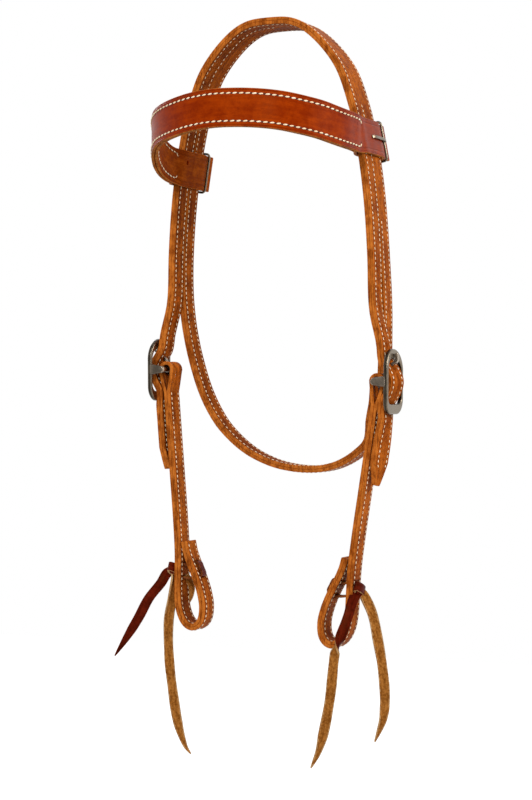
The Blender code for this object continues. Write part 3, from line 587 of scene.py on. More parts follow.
def grow(bm, row, before, after):
    """Extrudes a row to the next station and writes the strap's map on the new faces."""
    edges = [bm.edges.get(pair) for pair in zip(row, row[1:])]
    grown = bmesh.ops.extrude_edge_only(bm, edges=edges)["geom"]
    fresh = {part for part in grown if isinstance(part, bmesh.types.BMVert)}
    following = [
        next(edge.other_vert(vert) for edge in vert.link_edges if edge.other_vert(vert) in fresh)
        for vert in row]
    for vert, place in zip(following, after["places"]):
        vert.co = place
    marks = {vert: (mark, before["half"]) for vert, mark in zip(row, before["marks"])}
    marks.update({vert: (mark, after["half"]) for vert, mark in zip(following, after["marks"])})
    uv = bm.loops.layers.uv["strap"]
    width = bm.loops.layers.float["half_width"]
    for part in grown:
        if isinstance(part, bmesh.types.BMFace):
            for loop in part.loops:
                loop[uv].uv, loop[width] = marks[loop.vert]
    return following


def grow_all(bm, row, rows):
    """Grows a sheet from its last row through all the stations."""
    for before, after in zip(rows, rows[1:]):
        row = grow(bm, row, before, after)
    return row


def runs(places):
    """How far along the line each place is."""
    found = [0.0]
    for before, after in zip(places, places[1:]):
        found.append(found[-1] + (after - before).length)
    return found


print("sheet tools ready")

# %% [markdown]
# ### Thickness, rounding and cuts
# Solidify and Bevel stay modifiers until the piece has its holes, which Boolean cuts with punches
# made for them. Then the evaluated mesh takes the place of the sheet. In the editor one would apply
# the modifiers one after another, which comes to the same.


# %% From a sheet to a finished strap
def mesh_from(name, bm, finishes=()):
    """Turns a bmesh into a mesh with its finishes, and frees the bmesh."""
    mesh = bpy.data.meshes.new(name)
    bm.to_mesh(mesh)
    bm.free()
    for finish in finishes:
        mesh.materials.append(finish)
    return mesh


def smooth_piece(name, bm, *finishes):
    made = new_object(name, mesh_from(name, bm, finishes))
    made.data.shade_smooth()
    return made


def sheet_object(name, bm, facing, finishes):
    """Turns a sheet's first face to look the given way and makes it an object."""
    bmesh.ops.recalc_face_normals(bm, faces=bm.faces)
    bm.faces.ensure_lookup_table()
    if bm.faces[0].normal.dot(facing) < 0:
        bmesh.ops.reverse_faces(bm, faces=bm.faces)
    return smooth_piece(name, bm, *finishes)


def round_edges(made, width, segments, angle):
    """Rounds the edges that are sharper than an angle."""
    bevel = made.modifiers.new("rounding", "BEVEL")
    bevel.width, bevel.segments, bevel.profile = width, segments, 0.5
    bevel.limit_method, bevel.angle_limit = "ANGLE", math.radians(angle)
    bevel.harden_normals = True


def thicken(made, thickness, rounding=0.0008, segments=3):
    """Gives a sheet the hide's thickness, half on each side, and rounds its cut edges."""
    solidify = made.modifiers.new("thickness", "SOLIDIFY")
    solidify.thickness = thickness
    solidify.offset = 0.0
    solidify.use_even_offset = True
    if len(made.data.materials) > 2:
        solidify.material_offset_rim, solidify.material_offset = 1, 2
    round_edges(made, rounding, segments, 50)


def evaluated_mesh(made):
    """A new mesh of what an object's modifiers or bevel make of it."""
    bpy.context.view_layer.update()
    return bpy.data.meshes.new_from_object(
        made.evaluated_get(bpy.context.evaluated_depsgraph_get()))


def settle(made, *used):
    """Applies a piece's modifiers by keeping its evaluated mesh, and removes what cut it."""
    mesh = evaluated_mesh(made)
    made.modifiers.clear()
    made.data = mesh
    mesh.name = made.name
    for other in used:
        bpy.data.objects.remove(other)


def cut(made, *punches):
    """Cuts the punches out of a piece and settles it."""
    for punch in punches:
        boolean = made.modifiers.new("cut", "BOOLEAN")
        boolean.operation, boolean.solver, boolean.object = "DIFFERENCE", "EXACT", punch
    settle(made, *punches)


print("thickness, rounding and cuts ready")

# %% [markdown]
# ### Plain strips
# Most parts are plain strips: the browband, the cheek straps, the laces and even the tongues'
# blades. A strip takes framed places, a width and a thickness. A strip that curls is given more
# places across, because a flat face can't bend.


# %% A strip and its place in the whole
def curl_row(row, entry, curl):
    """Bends a station's places into an arc of the given angle, hollow away from its face."""
    place, across, face = entry
    half = row["half"]
    radius = 2 * half / curl
    row["places"] = [
        place + across * radius * math.sin(offset / radius)
        - face * radius * (1 - math.cos(offset / radius) - (1 - math.cos(curl / 2)) / 2)
        for _, offset in row["marks"]]


def strip(name, framed, widths, thickness, finishes, facing=1, rounding=0.0008, curls=None):
    """A leather strip along framed stations, each with its own width and curl."""
    if not isinstance(widths, list):
        widths = [widths] * len(framed)
    alongs = runs([entry[0] for entry in framed])
    shares = [k / 6 - 0.5 for k in range(7)] if curls else (-0.5, 0.5)
    rows = [
        station(entry, 0.0, [share * width for share in shares], along, width / 2)
        for entry, width, along in zip(framed, widths, alongs)]
    for row, entry, curl in zip(rows, framed, curls or []):
        curl_row(row, entry, curl * facing)
    bm = new_sheet()
    grow_all(bm, first_row(bm, rows[0]), rows)
    made = sheet_object(name, bm, framed[0][2] * facing, finishes)
    thicken(made, thickness, rounding)
    return made


def belongs(made, body, slot, *nodes):
    """Ties a finished piece to its body, hides the solids it stands for; the slot is not used."""
    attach(made, body)
    if nodes:
        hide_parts(*nodes)
    print(made.name, len(made.data.polygons), "faces")


print("strap tools ready")

# %% [markdown]
# ## Stitches
# A row of stitches is hundreds of small threads, each lying between two holes. One long thread with a
# dashed material would look painted on, so each stitch is its own low, rounded shape with only a few
# dozen faces, and each hole is a small dark disc pressed against the leather: painted shade where the
# hole's inside would fall dark.


# %% Where the stitches of a row lie
def stitch_row(line, pitch, length, width, slant=0.0, start=0.0, stop=0.0):
    """Where the stitches and holes of a row go, along a line of places and their faces."""
    places = [place for place, _ in line]
    far = runs(places)
    total = far[-1] - start - stop
    count = max(int(round(total / pitch)), 1)
    found, at = [], 0
    for k in range(2 * count + 1):
        want = start + total * k / (2 * count)
        while at < len(far) - 2 and far[at + 1] < want:
            at += 1
        share = (want - far[at]) / max(far[at + 1] - far[at], 1e-9)
        place = places[at].lerp(places[at + 1], min(max(share, 0.0), 1.0))
        run = (places[at + 1] - places[at]).normalized()
        face = line[at][1].lerp(line[at + 1][1], share).normalized()
        found.append((k % 2, place, run, (face - run * face.dot(run)).normalized(),
                      length, width, slant))
    return found


def offset_line(framed, offsets, lift):
    """A line beside a strap's middle: offsets across it, lift off its face."""
    if not isinstance(offsets, list):
        offsets = [offsets] * len(framed)
    sense = 1 if lift > 0 else -1
    return [
        (place + across * offset + face * lift, face * sense)
        for (place, across, face), offset in zip(framed, offsets)]


harness_stitch = {"pitch": 0.00375, "length": 0.0023, "width": 0.00082, "slant": math.radians(6)}
brow_stitch = {"pitch": 0.0047, "length": 0.0034, "width": 0.00125, "slant": math.radians(9)}
print("stitches of", harness_stitch["length"] * 1000, "mm")

# %% [markdown]
# ### Sewing
# Instances or particles would scatter the same stitch along a line, but they are no mesh of their
# own. Here every stitch is a squeezed sphere, turned a little across the row as a saddler's stitches
# are, and joined with its neighbours into one piece.


# %% Sewing the rows
def placing(place, run, face, lift, slant=0.0):
    """A matrix that lays a shape on the leather, its length along the row."""
    turned = Matrix.Rotation(slant, 3, face) @ run
    aside = face.cross(turned)
    turn = Matrix((turned, aside, face)).transposed().to_4x4()
    return Matrix.Translation(place + face * lift) @ turn


hole_lift, hole_shape = 0.00003, Matrix.Diagonal((0.85, 1.1, 1.0, 1.0))
thread_rise, thread_flat, hole_share = 0.16, 0.42, 0.52  # shares of a stitch's width


def add_to(whole, mesh):
    """Copies a mesh into a larger bmesh and removes it."""
    whole.from_mesh(mesh)
    bpy.data.meshes.remove(mesh)


def sew(name, rows, body):
    """Makes all the stitches and holes of several rows into one piece."""
    whole = bmesh.new()
    for row in rows:
        bm = bmesh.new()  # a row of its own, because adding to a large bmesh is slow
        for is_stitch, place, run, face, length, width, slant in row:
            if is_stitch:
                lie = placing(place, run, face, width * thread_rise, slant)
                size = Matrix.Diagonal((width * thread_flat, width / 2, length / 2, 1.0))
                bmesh.ops.create_uvsphere(
                    bm, u_segments=6, v_segments=5, radius=1.0,
                    matrix=lie @ Matrix.Rotation(math.pi / 2, 4, "Y") @ size)
        for part in bm.faces:
            part.smooth = True
        threads = len(bm.faces)
        # Each hole is a dark disc: painted shade for the inside of the hole.
        for is_stitch, place, run, face, length, width, slant in row:
            if not is_stitch:
                bmesh.ops.create_circle(
                    bm, cap_ends=True, segments=8, radius=width * hole_share,
                    matrix=placing(place, run, face, hole_lift) @ hole_shape)
        bm.faces.ensure_lookup_table()
        for part in bm.faces[threads:]:
            part.material_index = 1
        add_to(whole, mesh_from("row", bm))
    belongs(new_object(name, mesh_from(name, whole, (thread, hole_dark))), body, None)


print("sewing ready")

# %% [markdown]
# ## The crown, its billets and the throatlatch
# On the real headstall one long split strap does three jobs. It lies over the poll at full width, and
# below each slit its front half becomes the billet that buckles to a cheek strap, while its rear half
# runs on round the jaw as the throatlatch. The visible strap is the same doubled sheet, grown with a
# station every few millimetres so that its arch is smooth.

# %% Pointed ends
tip_share, tip_cuts = 0.16, 6
taper = 0.85  # a point's sides swell a little where this power is less than 1


def pointed(places, width, point):
    """Widths that run in to a narrow point over the last stretch of the route."""
    left, widths = 0.0, [width * tip_share]
    for i in range(len(places) - 1, 0, -1):
        left += (places[i] - places[i - 1]).length
        share = min(left / point, 1.0)
        widths.append(width * (tip_share + (1 - tip_share) * share ** taper))
    return widths[::-1]


def with_point(places, point):
    """The route with extra places near its end, close enough to draw the point."""
    whole = smooth(places, 8)
    left, tail = 0.0, [whole[-1]]
    targets = [point * (k / tip_cuts) ** 2 for k in range(1, tip_cuts + 1)]
    for i in range(len(whole) - 1, 0, -1):
        run = (whole[i] - whole[i - 1]).length
        while targets and left + run >= targets[0]:
            tail.append(whole[i].lerp(whole[i - 1], (targets[0] - left) / run))
            targets.pop(0)
        left += run
        if not targets:
            break
    return [place for place in places if (place - places[-1]).length > point * 1.15] + tail[::-1]


print("points of", billet_point * 1000, "mm")

# %% [markdown]
# ### The two halves below the slit
# Below the slit, each half goes its own way. A smooth curve through chosen points still has slight
# kinks, and thick leather bends softly, so each line is eased first. The right billet also turns its
# face forward a little where it bulges over the bar and where its tail hangs.

# %% Stations of the crown's two halves
slit_margin, half_start = 0.0005, 0.0010
arch_passes, half_passes = 350, 12


def slit_level(side):
    return base_top - slit_start_share * (drop_to_bar[side] + base_top)


def arch_places(side):
    """From beside the poll to where the slit begins."""
    upper = [point for point in crown_side(side, 0.0) if point.z >= slit_level(side) - slit_margin]
    line = smooth(upper)
    other = [Vector((-place.x, place.y, place.z)) for place in line[::-1]]
    return thin(ease(other + line, arch_passes)[len(line):], 0.003, math.radians(2))


def half_places(side, points):
    """A half's places below the slit's start."""
    level = slit_level(side) - half_start
    first = next(
        i for i, point in enumerate(points) if point.z < slit_level(side) + slit_margin)
    line = ease(smooth(points[first - 1:]), half_passes)
    at = next(i for i, place in enumerate(line) if place.z < level)
    share = (line[at - 1].z - level) / (line[at - 1].z - line[at].z)
    return thin([line[at - 1].lerp(line[at], share)] + line[at:])


front_half, rear_half = 0, 1
half_routes = {
    ("left", front_half): (billet_route("left"), billet_point),
    ("right", front_half): (billet_route("right"), billet_point),
    ("left", rear_half): (long_rear_route(), 0.0),
    ("right", rear_half): (rear_route("right") + throat_route("right", lap_to), 0.0)}
bulge_reach, tail_from, tail_turned = 0.036, 0.024, 0.044  # where a billet turns, from its bar


def half_stations(side, which):
    """Framed stations of a half and its width at each."""
    points, point = half_routes[side, which]
    places = half_places(side, points)
    if point:
        places = with_point(places, point)
    widths = pointed(places, half_width, point) if point else [half_width] * len(places)
    hints = []
    for place in places:
        below = -(place.z + drop_to_bar[side])
        nearness = max(0.0, 1.0 - (below / bulge_reach) ** 2) ** 2
        hanging = min(max((below - tail_from) / (tail_turned - tail_from), 0.0), 1.0)
        turn = billet_turn[side] * max(nearness, hanging) if point else 0.0
        hints.append(Vector((SIDES[side] * math.sin(turn), math.cos(turn), 0.0)))
    return frames(places, hints), widths


print("halves start at", round(slit_level("left"), 4), round(slit_level("right"), 4))

# %% [markdown]
# ### Growing a layer
# A layer starts with one row near the top of the head. It grows down the left side, and then from
# the same row over the top and down the right. At each slit the last row has three points, and each
# half grows on from two of them, so the layer stays one sheet without a seam.


# %% One layer of the crown
def crown_layer(name, lift, finishes):
    """The arch over the poll, and the two halves that grow on below each of its ends."""
    edge = crown_width / 2
    bm = new_sheet()
    start, last_rows, ends = None, {}, {}
    for side, sense in SIDES.items():
        framed = frames(arch_places(side))
        rows = [
            station(entry, lift * sense, (-edge, 0.0, edge), (along + crown_flat) * sense, edge)
            for entry, along in zip(framed, runs([entry[0] for entry in framed]))]
        if start is None:
            start, opening = first_row(bm, rows[0]), rows[0]
        else:
            rows.insert(0, opening)
        last_rows[side], ends[side] = grow_all(bm, start, rows), rows[-1]
    for side, which in half_routes:
        sense, end = SIDES[side], ends[side]
        framed, widths = half_stations(side, which)
        along = end["marks"][0][0]
        shift = half_centre * (1 if which == rear_half else -1)
        rows = [{
            "marks": [(along, mark[1] - shift) for mark in end["marks"][which:which + 2]],
            "half": half_width / 2}]
        alongs = runs([end["places"][1]] + [entry[0] for entry in framed])[1:]
        for entry, width, run in zip(framed, widths, alongs):
            rows.append(station(
                entry, lift * sense, (-width / 2, width / 2), along + run * sense, width / 2))
        grow_all(bm, last_rows[side][which:which + 2], rows)
    made = sheet_object(name, bm, upright, finishes)
    thicken(made, leather + layer_swell, 0.0006)
    return made


crown_finishes = (harness, harness_edge)
crown_outer = crown_layer("crown_strap_outer", layer_lift, (*crown_finishes, harness))
crown_lining = crown_layer("crown_strap_lining", -layer_lift, (*crown_finishes, harness_inside_shaded))
print("two layers", round(2 * layer_lift * 1000, 2), "mm apart")

# %% [markdown]
# ### Buckle holes
# A saddler punches the holes through both layers at once, so both are cut with the same pegs. The
# hole that the tongue goes through is drawn out to a slot, as it is when a strap is pulled tight.


# %% Buckle holes
def peg(centre, axis, diameter, length, stretch, stretch_length):
    """An oval punch, stretched along the strap."""
    bm = bmesh.new()
    turn = upright.rotation_difference(axis).to_matrix().to_4x4()
    bmesh.ops.create_cone(
        bm, cap_ends=True, segments=16, radius1=diameter / 2, radius2=diameter / 2, depth=length,
        matrix=Matrix.Translation(centre) @ turn)
    reach = (stretch_length - diameter) / 2
    for vert in bm.verts:
        vert.co += stretch * (reach if (vert.co - centre).dot(stretch) > 0 else -reach)
    return mesh_from("punch", bm)


def at_level(framed, level):
    """The station nearest to a level."""
    return min(framed, key=lambda entry: abs(entry[0].z - level))


hole_diameter, hole_pitch, tongue_width, tongue_clear = 0.0036, 0.0144, 0.0032, 0.0004
slot_up_share, slot_long_share, hole_long_share = 0.68, 0.58, 1.35
hole_steps = (-3, -2, 0, 1, 2, 3, 4, 5)  # in pitches, upward from the tongue's own slot


def billet_punch():
    """All the buckle holes of both billets as one cutter, the tongue's own one a long slot."""
    whole = bmesh.new()
    for side in SIDES:
        framed = frames(smooth(billet_route(side)))
        for step in hole_steps:
            place, across, face = at_level(
                framed, -drop_to_bar[side] + slot_up_share * half_opening + step * hole_pitch)
            broad, long = (hole_diameter, hole_diameter * hole_long_share) if step else (
                tongue_width + 2 * tongue_clear, slot_long_share * half_opening)
            add_to(whole, peg(
                place, face, broad, strap_total + punch_over, across.cross(face), long))
    return new_object("billet_punch", mesh_from("billet_punch", whole))


for layer in (crown_outer, crown_lining):
    cut(layer, billet_punch())
belongs(crown_outer, "crownpiece", "harness_leather", "crown_outer")
belongs(crown_lining, "crownpiece", "harness_leather", "crown_lining")

# %% [markdown]
# ### The crown's stitches
# Four rows hold the layers together below the slits: one at each outer edge, which runs right over
# the crown, and one along each side of the slit. They are seen on both faces of the strap.

# %% Crown stitch rows
over_crown, under_browband = 0.006, 12
full_share, row_start, row_stop, thread_lift = 0.62, 0.0005, 0.0015, 0.00002


def crown_rows():
    """Rows on both faces: at the strap's edges all along, at the slit's edges below its start,
    and one middle row that runs on from the slit over the crown."""
    rows = []
    for side, sense in SIDES.items():
        arch = frames(arch_places(side))
        over = [
            entry for entry in arch
            if side == "left" or entry[0].z < slit_level(side) + over_crown]
        for face_sense in (1, -1):
            lift = (strap_total / 2 + thread_lift) * sense * face_sense
            for front, which in ((-1, front_half), (1, rear_half)):
                kept = [
                    (entry, width) for entry, width in zip(*half_stations(side, which))
                    if width > half_width * full_share]
                framed = [entry for entry, _ in kept]
                edge = [front * (width / 2 - row_inset) for _, width in kept]
                inner = [-front * (width / 2 - slit_inset) for _, width in kept]
                rows.append(stitch_row(
                    offset_line(arch, front * (crown_width / 2 - row_inset), lift)
                    + offset_line(framed, edge, lift), stop=row_stop, **harness_stitch))
                if which == front_half:
                    line = offset_line(over, -slit_inset, lift) + offset_line(framed, inner, lift)
                elif side == "left" or face_sense < 0:
                    line = offset_line(framed, inner, lift)
                else:
                    line = offset_line(framed[under_browband:], inner[under_browband:], lift)
                rows.append(stitch_row(line, start=row_start, stop=row_stop, **harness_stitch))
    return rows


sew("crown_stitching", crown_rows(), "crownpiece")

# %% [markdown]
# ## The browband
# The browband is a separate band of two layers, sewn along both edges with heavier slanted stitches.
# At each end the layers part into two tabs that lie outside and inside the crown, and meet again
# behind it in a wire ring. One base line with a varying spread between the layers makes both.

# %% Browband sizes and base line
brow_width, brow_reach, brow_half_span = 0.0275, 0.1095, 0.0755
brow_route_shares = (
    (1.005, 0.245), (1.003, 0.330), (0.995, 0.430), (0.957, 0.550), (0.877, 0.670),
    (0.757, 0.780), (0.606, 0.870), (0.424, 0.940), (0.217, 0.985))
brow_front_level = -0.0760
brow_end_drop = {"left": 0.0285, "right": 0.0125}
brow_drop_shares = {
    "left": (0.98, 0.93, 0.81, 0.60, 0.38, 0.25, 0.18, 0.11, 0.04),
    "right": (0.97, 0.92, 0.89, 0.78, 0.57, 0.38, 0.19, 0.07, 0.01)}
tab_clear, tab_hole, fin_reach = 0.0005, 0.0032, 0.0115
clasp_wire, clasp_corner, clasp_clear, clasp_side_clear = 0.0018, 0.0026, 0.0005, 0.0012
clasp_reach = 2 * leather + clasp_wire


def crown_beside(side):
    """Where the crown lies at its tabs' level: how far out, and its upward direction."""
    line = smooth(crown_side(side, 0.0))
    level = brow_front_level - brow_end_drop[side]
    at = min(range(1, len(line)), key=lambda i: abs(line[i].z - level))
    return abs(line[at].x), (line[at - 1] - line[at]).normalized(), level


def tab_points(side):
    """The tabs' way from the fin behind the ring to the crown's front: place, spread, upward."""
    outward, upward, level = crown_beside(side)
    apart = strap_total / 2 + tab_clear + leather / 2
    back = crown_width / 2
    depths = (
        (back + clasp_reach + fin_reach, layer_lift), (back + clasp_reach, layer_lift),
        (back + clasp_reach / 2, layer_lift * 1.9), (back, apart), (0.0, apart), (-back, apart))
    return [(side_point(side, outward, depth, level), spread, upward) for depth, spread in depths]


def brow_points(side):
    return [
        (side_point(side, outward * brow_half_span, -reach * brow_reach,
                    brow_front_level - drop * brow_end_drop[side]), layer_lift, upright)
        for (outward, reach), drop in zip(brow_route_shares, brow_drop_shares[side])]


def brow_base():
    """Stations from the left fin to the right one, each framed and with its layers' spread."""
    right = tab_points("right") + brow_points("right")
    route = tab_points("left") + brow_points("left") + [
        (Vector((0.0, -brow_reach, brow_front_level)), layer_lift, upright)] + right[::-1]
    steps, every = 12, 3
    line = smooth([entry[0] for entry in route], steps)
    spreads, hints = [route[0][1]], [route[0][2]]
    for before, after in zip(route, route[1:]):
        for k in range(1, steps + 1):
            share = (k / steps) ** 2 * (3 - 2 * k / steps)
            spreads.append(before[1] + (after[1] - before[1]) * share)
            hints.append(before[2].lerp(after[2], share))
    kept = list(range(0, len(line), every))
    return frames([line[i] for i in kept], [hints[i] for i in kept]), [spreads[i] for i in kept]


brow_line, brow_spreads = brow_base()
print("browband", round(runs([entry[0] for entry in brow_line])[-1] * 1000), "mm from fin to fin")

# %% [markdown]
# ### The browband's layers
# The face and the back are two strips along the same line, moved apart by the spread. The outer tab
# has a hole for the clasp's tongue, and the left end's inner layer has one spare hole.

# %% Browband layers
clasp_tongue_reach = 0.0255
spare_hole, spare_forward, spare_up = 0.0036, 0.0133, 0.0040


def brow_layer(name, sense):
    lifted = [
        (place + face * spread * sense, across, face)
        for (place, across, face), spread in zip(brow_line, brow_spreads)]
    return strip(name, lifted, brow_width, leather, (russet, russet_edge, russet_inside))


def clasp_hinge(side):
    """The ring's middle, its outer rail's middle, and its upward and outward directions."""
    outward, upward, level = crown_beside(side)
    centre = side_point(side, outward, crown_width / 2 + clasp_reach, level)
    out = upward.cross(backward) * -SIDES[side]
    hinge = centre + out * (strap_total / 2 + clasp_side_clear + clasp_wire / 2)
    return centre, hinge, upward, out


def tab_punch(side):
    """The hole in the outer tab for the clasp tongue's tip."""
    _, hinge, upward, out = clasp_hinge(side)
    tip = hinge - backward * (clasp_tongue_reach * 0.965)
    return new_object(
        f"tab_punch_{side}", peg(tip, out, tab_hole, 2 * strap_total, upward, tab_hole))


def spare_punch():
    """One spare hole in the left end's inner layer."""
    outward, upward, level = crown_beside("left")
    place = side_point("left", outward - strap_total / 2 - tab_clear - leather / 2,
                       -spare_forward, level + spare_up)
    return new_object("spare_punch", peg(
        place, Vector((1.0, 0.0, 0.0)), spare_hole, leather * 2, upward, spare_hole))


brow_outer, brow_lining = brow_layer("browband_face", 1), brow_layer("browband_back", -1)
cut(brow_outer, *[tab_punch(side) for side in SIDES])
cut(brow_lining, spare_punch())
belongs(brow_outer, "crownpiece", "russet_leather", "browband_outer")
belongs(brow_lining, "crownpiece", "russet_leather", "browband_lining")

# %% [markdown]
# ### The browband's stitches
# The thread is heavier here, and the stitches are longer and slant more. On the back they slant the
# other way and are thinner, because the thread is pulled into the leather there.

# %% Browband stitch rows
brow_stop, brow_hook, back_thread, brow_thread_lift = 0.0055, 0.0030, 0.0009, 0.0001


def brow_rows():
    """Two rows on each face, which stop short of the crown with a hook towards the middle."""
    found = []
    for sense in (1, -1):
        kept = [
            (place + face * (spread + leather / 2 + brow_thread_lift) * sense, across,
             face * sense)
            for (place, across, face), spread in zip(brow_line, brow_spreads)
            if place.y < -crown_width / 2 - brow_stop]
        sewn = dict(brow_stitch, slant=brow_stitch["slant"] * sense)
        if sense < 0:
            sewn["width"] = back_thread
        for edge in (-1, 1):
            inset = brow_width / 2 - brow_row_inset
            offsets = [edge * inset] * len(kept)
            offsets[0] = offsets[-1] = edge * (inset - brow_hook)
            found.append(stitch_row([
                (place + across * offset, face)
                for (place, across, face), offset in zip(kept, offsets)], **sewn))
    return found


sew("browband_stitching", brow_rows(), "crownpiece")

# %% [markdown]
# ## The browband's clasps
# A small wire ring closes each end of the browband behind the crown. A wire is best made as a curve
# with a round bevel, which is then turned into a mesh. A flat tongue is hooked on the ring's outer
# rail, and its tip sits in a hole of the outer tab.


# %% Wires and joined pieces
def rounded_rectangle(width, height, corners, segments):
    """Points of a rectangle with round corners, upper and lower ones of their own radius."""
    points = []
    for quarter, (right, up) in enumerate(((1, 1), (-1, 1), (-1, -1), (1, -1))):
        corner = corners[quarter // 2]
        for k in range(segments + 1):
            angle = (quarter + k / segments) * math.pi / 2
            points.append((
                right * (width / 2 - corner) + corner * math.cos(angle),
                up * (height / 2 - corner) + corner * math.sin(angle)))
    return points


def wire(name, path, radii, finish, closed, resolution=4):
    """A round wire or rod along a path, its radius given at each point."""
    curve = bpy.data.curves.new(name, "CURVE")
    curve.dimensions = "3D"
    curve.bevel_depth, curve.bevel_resolution = 1.0, resolution
    curve.use_fill_caps = not closed
    spline = curve.splines.new("POLY")
    spline.points.add(len(path) - 1)
    for point, place, radius in zip(spline.points, path, radii):
        point.co, point.radius = (*place, 1.0), radius
    spline.use_cyclic_u = closed
    curve.materials.append(finish)
    source = new_object(name, curve)
    mesh = evaluated_mesh(source)
    bpy.data.objects.remove(source)
    mesh.shade_smooth()
    return new_object(name, mesh)


def together(name, objects):
    """Several settled pieces made into one object, with their materials kept."""
    whole, finishes = bmesh.new(), []
    for part in objects:
        settle(part)
        for finish in part.data.materials:
            if finish not in finishes:
                finishes.append(finish)
        places = [finishes.index(finish) for finish in part.data.materials]
        for polygon in part.data.polygons:
            polygon.material_index = places[polygon.material_index]
        whole.from_mesh(part.data)
    for part in objects:
        bpy.data.objects.remove(part)
    return new_object(name, mesh_from(name, whole, finishes))


def ring_edges(bm, verts):
    """Edges that join the vertices into a closed ring."""
    return [bm.edges.new(pair) for pair in zip(verts, verts[1:] + verts[:1])]


def spun_eye(name, inner, outer, length, axis, centre, finish):
    """A short tube round a pin, spun from its rectangular section, with eased corners."""
    bm = bmesh.new()
    out = axis.orthogonal().normalized()
    verts = [
        bm.verts.new(centre + out * radius + axis * reach)
        for radius, reach in ((inner, -length / 2), (outer, -length / 2), (outer, length / 2),
                              (inner, length / 2))]
    edges = ring_edges(bm, verts)
    bmesh.ops.spin(bm, geom=verts + edges, cent=centre, axis=axis, angle=2 * math.pi, steps=28,
                   use_merge=True)
    bmesh.ops.remove_doubles(bm, verts=bm.verts, dist=0.000005)
    bmesh.ops.recalc_face_normals(bm, faces=bm.faces)
    made = smooth_piece(name, bm, finish)
    round_edges(made, (outer - inner) * 0.25, 2, 60)
    return made


print("wire and eye tools ready")

# %% [markdown]
# ### Rings and small tongues
# The ring's outline is worked out from what goes through it: the browband's two layers, with a
# little room on every side. The tongue is a narrow strip and a spun eye, joined into one piece.

# %% Rings and small tongues
clasp_eye_wall, clasp_blade, clasp_blade_thick = 0.0007, 0.0022, 0.0012


def clasp(side):
    """The ring, and the tongue that hooks on it and ends in the tab's hole."""
    centre, hinge, upward, out = clasp_hinge(side)
    aside = upward.cross(backward)
    outline = rounded_rectangle(
        strap_total + 2 * clasp_side_clear + clasp_wire, brow_width + 2 * clasp_clear + clasp_wire,
        (clasp_corner, clasp_corner), 6)
    path = [centre + aside * x + upward * z for x, z in outline]
    ring = wire(f"clasp_ring_{side}", path, [clasp_wire / 2] * len(path), ring_metal, True)
    belongs(ring, "crownpiece", "dark_nickel", f"browband_clasp_ring_{side}")
    tab_face = tab_clear + leather - clasp_side_clear - clasp_wire / 2
    resting = tab_face + tab_clear * 1.4 + clasp_blade_thick / 2
    eye_inner = clasp_wire / 2 + tongue_clear * 0.6
    root = eye_inner + clasp_eye_wall / 2
    shape = (
        (root * 0.98, root * 0.20), (resting, root * 2.4), (resting, clasp_tongue_reach * 0.45),
        (resting, clasp_tongue_reach * 0.86), (tab_face * 0.9, clasp_tongue_reach * 0.985))
    places = smooth([hinge + out * x - backward * reach for x, reach in shape], 4)
    blade = strip(f"blade_{side}", frames(places, upward), clasp_blade, clasp_blade_thick,
                  (ring_metal,), rounding=clasp_blade_thick / 4)
    eye = spun_eye(f"eye_{side}", eye_inner, eye_inner + clasp_eye_wall, clasp_blade, upward,
                   hinge, ring_metal)
    tongue = together(f"clasp_tongue_{side}", [blade, eye])
    belongs(tongue, f"clasp_tongue_{side}", "dark_nickel", f"browband_clasp_tongue_{side}")


for side in SIDES:
    clasp(side)

# %% [markdown]
# ## The cheek buckles
# Each is a cast cart buckle: a round-ended frame, two ears that reach in from its side rails, and a
# bar between the ears that the cheek strap is folded round. The frame is an outline with a smaller
# outline inside it, bridged, thickened and rounded until its rails are almost round rods.

# %% Buckle frames
frame_corner_shares = (0.47, 0.30)
lug_root, lug_round, lug_wall = 0.0086, 0.0003, 0.0030


def flat_metal(name, bm, thickness, rounding, finish):
    """A flat shape thickened and rounded."""
    bmesh.ops.recalc_face_normals(bm, faces=bm.faces)
    made = smooth_piece(name, bm, finish)
    thicken(made, thickness, rounding, 4)
    return made


def frame_plate_piece(side):
    """The outer frame, bowed in towards its ends."""
    segments = 12
    corners = [frame_width * share for share in frame_corner_shares]
    outer = rounded_rectangle(frame_width, frame_height, corners, segments)
    inner = rounded_rectangle(
        frame_width - 2 * frame_rail, frame_height - 2 * frame_end,
        [corner * 0.60 for corner in corners], segments)
    centre = bar_centre(side) + side_point(side, bar_offset, 0.0, 0.0)
    bm = bmesh.new()
    rings = []
    for outline in (outer, inner):
        verts = [
            bm.verts.new(centre + Vector((-SIDES[side] * bow_at(level), depth, level)))
            for depth, level in outline]
        rings += ring_edges(bm, verts)
    bmesh.ops.bridge_loops(bm, edges=rings)
    return flat_metal(f"plate_{side}", bm, frame_plate, frame_rail * 0.42, nickel)


def ear(side, front):
    """A lug from the frame's side rail to the bar, round at the bar."""
    bm = bmesh.new()
    round_end = bar_diameter / 2 + lug_round
    verts, steps = [], 12
    for k in range(steps + 1):
        angle = math.pi / 2 + math.pi * k / steps
        verts.append(bm.verts.new((
            SIDES[side] * round_end * math.cos(angle), 0.0, round_end * math.sin(angle))))
    for level in (-lug_root / 2, lug_root / 2):
        verts.append(bm.verts.new((SIDES[side] * bar_offset, 0.0, level)))
    bm.faces.new(verts)
    depth = front * (frame_width - frame_rail) / 2
    bmesh.ops.translate(bm, vec=bar_centre(side) + Vector((0.0, depth, 0.0)), verts=bm.verts)
    return flat_metal(f"ear_{side}_{front}", bm, lug_wall, lug_wall * 0.38, lit_plating)


def bar(side):
    half = (frame_width - frame_rail + lug_wall / 2) / 2
    path = [bar_centre(side) + Vector((0.0, depth, 0.0)) for depth in (-half, 0.0, half)]
    return wire(f"bar_{side}", path, [bar_diameter / 2] * 3, nickel, False, 6)


print("frame rails", frame_rail * 1000, "mm, bar", bar_diameter * 1000, "mm")

